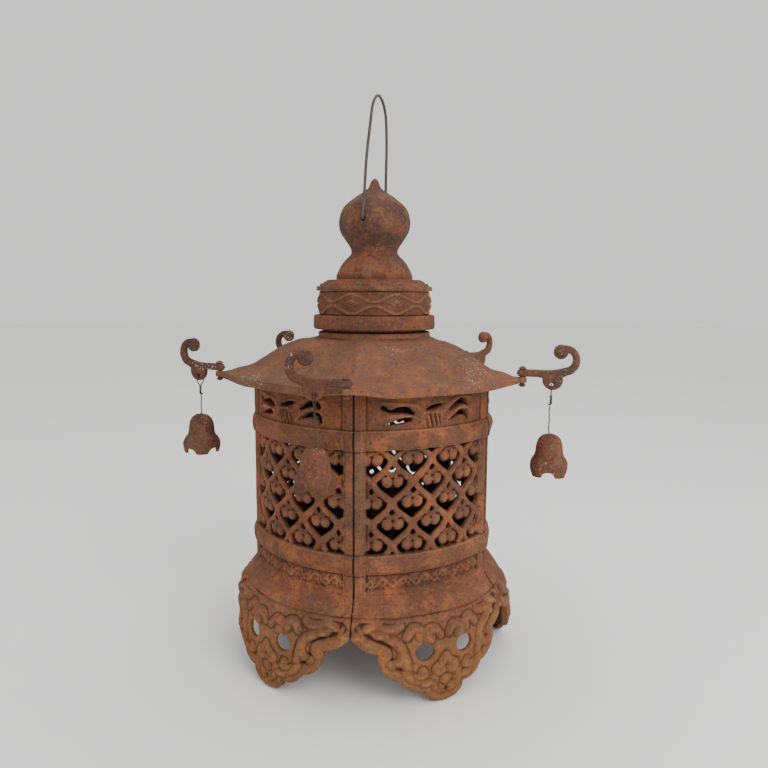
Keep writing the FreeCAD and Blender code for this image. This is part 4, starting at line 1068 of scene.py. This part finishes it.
def makeBracketMesh():
    lines = bracketLines()
    kx, kz, kr = bracket["knob"]
    hx, hz, hr = bracket["hole"]
    lx, lz, lr = bracket["lug"]
    gx, gw, gz = bracket["gusset"]

    def metal(u, v):
        d = nearLines(u, v, lines)
        d = np.minimum(d, np.hypot(u - kx, v - kz) - kr)
        lug = np.maximum(np.hypot(u - lx, v - lz) - lr, v - bracket["lugTop"])
        blend = smooth(1.6, 0, np.abs(d)) * 0.4
        d = np.minimum(d, lug) - blend * (lug < 2.5) * (v < 2)
        gusset = np.maximum(np.abs(u - gx) - gw, np.maximum(v - gz, -v + 0.4 * (u - 22) - 1.4))
        d = np.minimum(d, gusset + 0.6)
        d = np.maximum(d, hr - np.hypot(u - hx, v - hz))
        return d

    def thickness(u, v, d):
        t = np.clip(-d / 1.5, 0, 1)
        h = bracket["thick"] - bracket["edge"] * (1 - np.sqrt(np.maximum(1 - (1 - t) ** 2, 0)))
        ball = 1 - ((u - kx) ** 2 + (v - kz) ** 2) / kr ** 2
        h = np.maximum(h, np.where(ball > 0, bracket["knobHeight"] * np.sqrt(np.maximum(ball, 0)), 0))
        stem = smooth(19.0, 30.0, u) * smooth(3.0, 7.0, v)
        return h * (1 - 0.06 * stem)

    def face(u, v, d):
        h = thickness(u, v, d) + 0.14 * roughGrain(u, v, 3.0, 61)
        # tone rises towards the outline: painted highlight with edge wear on the plate's rims
        return h, 0.42 + 0.3 * np.clip(1 + d / 1.2, 0, 1) * (d > -1.2) + 0.1 * roughGrain(u, v, 3.0, 63)

    def back(u, v, d):
        return -thickness(u, v, d) - 0.14 * roughGrain(u, v, 3.0, 67)

    def place(u, v, h):
        return np.stack([u, -h, v], -1)

    u = np.arange(-4.4, 39.4, bracket["cell"])
    v = np.arange(-9.2, 24.2, bracket["cell"])
    return castSheet(u, v, metal, place, face, back)


def bellShape():
    line = curvePoints(bell["profile"], 5)
    length = np.concatenate([[0], np.cumsum(np.hypot(*np.diff(line, axis=0).T))])
    return line, length


def makeBellMesh(seed):
    line, length = bellShape()
    reference = 13.0

    def at(v):
        r, z = np.interp(v, length, line[:, 0]), np.interp(v, length, line[:, 1])
        e = 0.05
        dr = np.interp(v + e, length, line[:, 0]) - np.interp(v - e, length, line[:, 0])
        dz = np.interp(v + e, length, line[:, 1]) - np.interp(v - e, length, line[:, 1])
        size = np.hypot(dr, dz) + 1e-9
        return r, z, -dz / size, dr / size

    def metal(u, v):
        r, z = at(v)[:2]
        quarter = math.pi / 2
        a = (u / reference + quarter / 2) % quarter - quarter / 2
        x = a * bell["mouth"]
        notch = np.hypot(x / bell["notchHalf"], (z + bell["height"] + 0.3) / bell["notchRise"]) - 1
        return -notch * 4.4

    def face(u, v, d):
        z = at(v)[1]
        lobes = 0.5 * np.cos(4 * u / reference + math.pi) * smooth(-16.0, -23.0, z)
        rise = 0.25 * roughGrain(u, v, 5.0, seed)
        edge = np.clip(-d / 0.8, 0, 1)
        # tone rises towards the notch rims: painted highlight with edge wear
        tone = 0.45 + 0.1 * roughGrain(u, v, 4.0, seed + 1) + 0.2 * (1 - edge)
        return lobes + rise - 0.4 * (1 - edge) ** 2, tone

    def back(u, v, d):
        return np.full(np.shape(u), -bell["wall"])

    def place(u, v, h):
        r, z, nr, nz = at(v)
        a = u / reference
        radius = np.maximum(r + h * nr, 1.05)
        return np.stack([radius * np.sin(a), -radius * np.cos(a), z + h * nz], -1)

    u = np.linspace(-math.pi * reference, math.pi * reference, 97)
    v = np.linspace(0, length[-1], 44)
    return castSheet(u, v, metal, place, face, back, closed=True)


def hangerWire(hole, topOfBell, across, seed):
    # two strands from the lug's hole, twisted together below it, then one wire down to the bell
    rng = np.random.default_rng(seed)
    along = Vector((0, 0, 1)).cross(across)
    down = Vector((0, 0, -1))
    length = hole.z - topOfBell.z
    strands = []
    for side in (-1, 1):
        line = [hole + across * (side * t) for t in (0.0, 1.4, 2.4)]
        line += [hole + across * side * 3.15 + down * 0.9, hole + across * side * 3.2 + down * 2.8,
                 hole + across * side * 2.7 + down * 5.0, hole + across * side * 1.2 + down * 6.6]
        for k in range(hanger["turns"]):
            a = k * math.pi / 4 + (0 if side > 0 else math.pi)
            r = hanger["twistRadius"] + 0.1 * rng.uniform(-1, 1)
            centre = hole + down * (hanger["twistTop"] + hanger["twistStep"] * k)
            line.append(centre + across * (r * math.cos(a)) + along * (r * math.sin(a)))
        if side > 0:
            line += [hole + along * 1.3 + down * 13.9, hole + along * 2.2 + down * 13.0]
        strands.append(roundWire(curvePoints([tuple(p) for p in line], 3), hanger["wire"], 8))
    bow, sway = rng.uniform(0.7, 1.3), rng.uniform(-0.5, 0.5)
    line = []
    for k in range(15):
        t = k / 14
        side = bow * math.sin(math.pi * t) + 0.3 * math.sin(3 * math.pi * t)
        drop = hanger["singleTop"] + (length - hanger["singleTop"] + 2.0) * t
        line.append(hole + down * drop + along * side + across * (sway * math.sin(math.pi * t)))
    line += [topOfBell + down * z + along * x for x, z in hanger["loop"]]
    strands.append(roundWire(curvePoints([tuple(p) for p in line], 3), hanger["wire"], 8))
    return gather(strands)


def makeHangings():
    plate = makeBracketMesh()
    for k in range(1, sides + 1):
        pivot = Vector(joints["bracket_%d_swivel" % k]["pos_m"]) / mm
        hole = Vector(joints["wire_%d_swing" % k]["pos_m"]) / mm
        heading = math.degrees(math.atan2(hole.y - pivot.y, hole.x - pivot.x))
        points = spun(plate[0], heading) + (pivot.x, pivot.y, pivot.z)
        addPiece("scroll_bracket_%d" % k, points, plate[1], "arm_%d" % k, "bracket",
                 ["bracket_%d" % k], plate[2], 50)
        bellTop = Vector(joints["bell_%d_swing" % k]["pos_m"]) / mm + Vector((0, 0, 0.8))
        across = Vector(joints["wire_%d_swing" % k]["axis"])
        points, faces = hangerWire(hole, bellTop, across, 40 + k)
        addPiece("twisted_wire_%d" % k, points, faces, "hanger_%d" % k, "wire",
                 ["bell_wire_%d" % k])
        cast = makeBellMesh(70 + k)
        points = spun(cast[0], heading) + (bellTop.x, bellTop.y, bellTop.z)
        addPiece("cast_bell_%d" % k, points, cast[1], "chime_%d" % k, "bell",
                 ["bell_%d" % k], cast[2], 45)
    print("brackets, bells and wires hung")


makeHangings()


# the carried-over metal parts

carried = {"fire_pan": "inner", "candle_cup": "inner", "stud_bridge": "inner", "tie_rods": "inner",
           "tie_rod_nuts": "fastener", "pricket": "fastener", "stud_nut": "fastener",
           "finial_stud": "fastener", "door_hinge_pins": "fastener", "latch_rivet": "fastener",
           "door_latch": "fastener",
           "bracket_rivets": "bracketRivet"}
for nodeName, look in carried.items():
    if nodeName in frame["nodes"]:
        mesh = frame["nodes"][nodeName].data
        mesh.materials.clear()
        mesh.materials.append(looks[look])
print("carried-over parts finished")


# studio

studio = {"camera": (0.0800, -0.5426, 0.2726), "pitch": 7.285, "heading": 7.63, "roll": -0.29, "lens": 33.86,
          "sky": 0.95, "key": 13.5, "fill": 0.5, "top": 4.0}


def softLight(name, place, size, watts, aim=(0, 0, 0.18)):
    light = bpy.data.lights.new(name, "AREA")
    light.energy, light.size = watts, size
    lamp = bpy.data.objects.new(name, light)
    lamp.location = place
    lamp.rotation_euler = (Vector(aim) - Vector(place)).to_track_quat("-Z", "Y").to_euler()
    bpy.context.scene.collection.objects.link(lamp)


def makeStudio():
    scene = bpy.context.scene
    world = bpy.data.worlds.new("paleRoom")
    world.use_nodes = True
    world.node_tree.nodes["Background"].inputs["Color"].default_value = (1.0, 0.995, 0.985, 1.0)
    world.node_tree.nodes["Background"].inputs["Strength"].default_value = studio["sky"]
    scene.world = world
    softLight("key", (0.85, -0.95, 0.95), 0.9, studio["key"])
    softLight("fill", (-1.0, -0.7, 0.55), 0.9, studio["fill"])
    softLight("top", (0.1, 0.25, 1.3), 1.0, studio["top"])
    steps, radius = 48, 6.0
    ring = [(radius * math.cos(2 * math.pi * k / steps), radius * math.sin(2 * math.pi * k / steps), -0.0002)
            for k in range(steps)]
    mesh = bpy.data.meshes.new("paleFloor")
    mesh.from_pydata(ring, [], [tuple(range(steps))])
    floor = bpy.data.objects.new("paleFloor", mesh)
    scene.collection.objects.link(floor)
    paint = Finish("floorPaint")
    paint.set("Base Color", (0.93, 0.93, 0.925, 1.0))
    paint.set("Roughness", 0.9)
    mesh.materials.append(paint.material)
    data = bpy.data.cameras.new("camera")
    data.lens, data.sensor_width = studio["lens"], 36.0
    camera = bpy.data.objects.new("camera", data)
    camera.location = studio["camera"]
    camera.rotation_euler = (math.radians(90 - studio["pitch"]), math.radians(studio["roll"]),
                             math.radians(studio["heading"]))
    scene.collection.objects.link(camera)
    scene.camera = camera
    print("studio ready")


makeStudio()
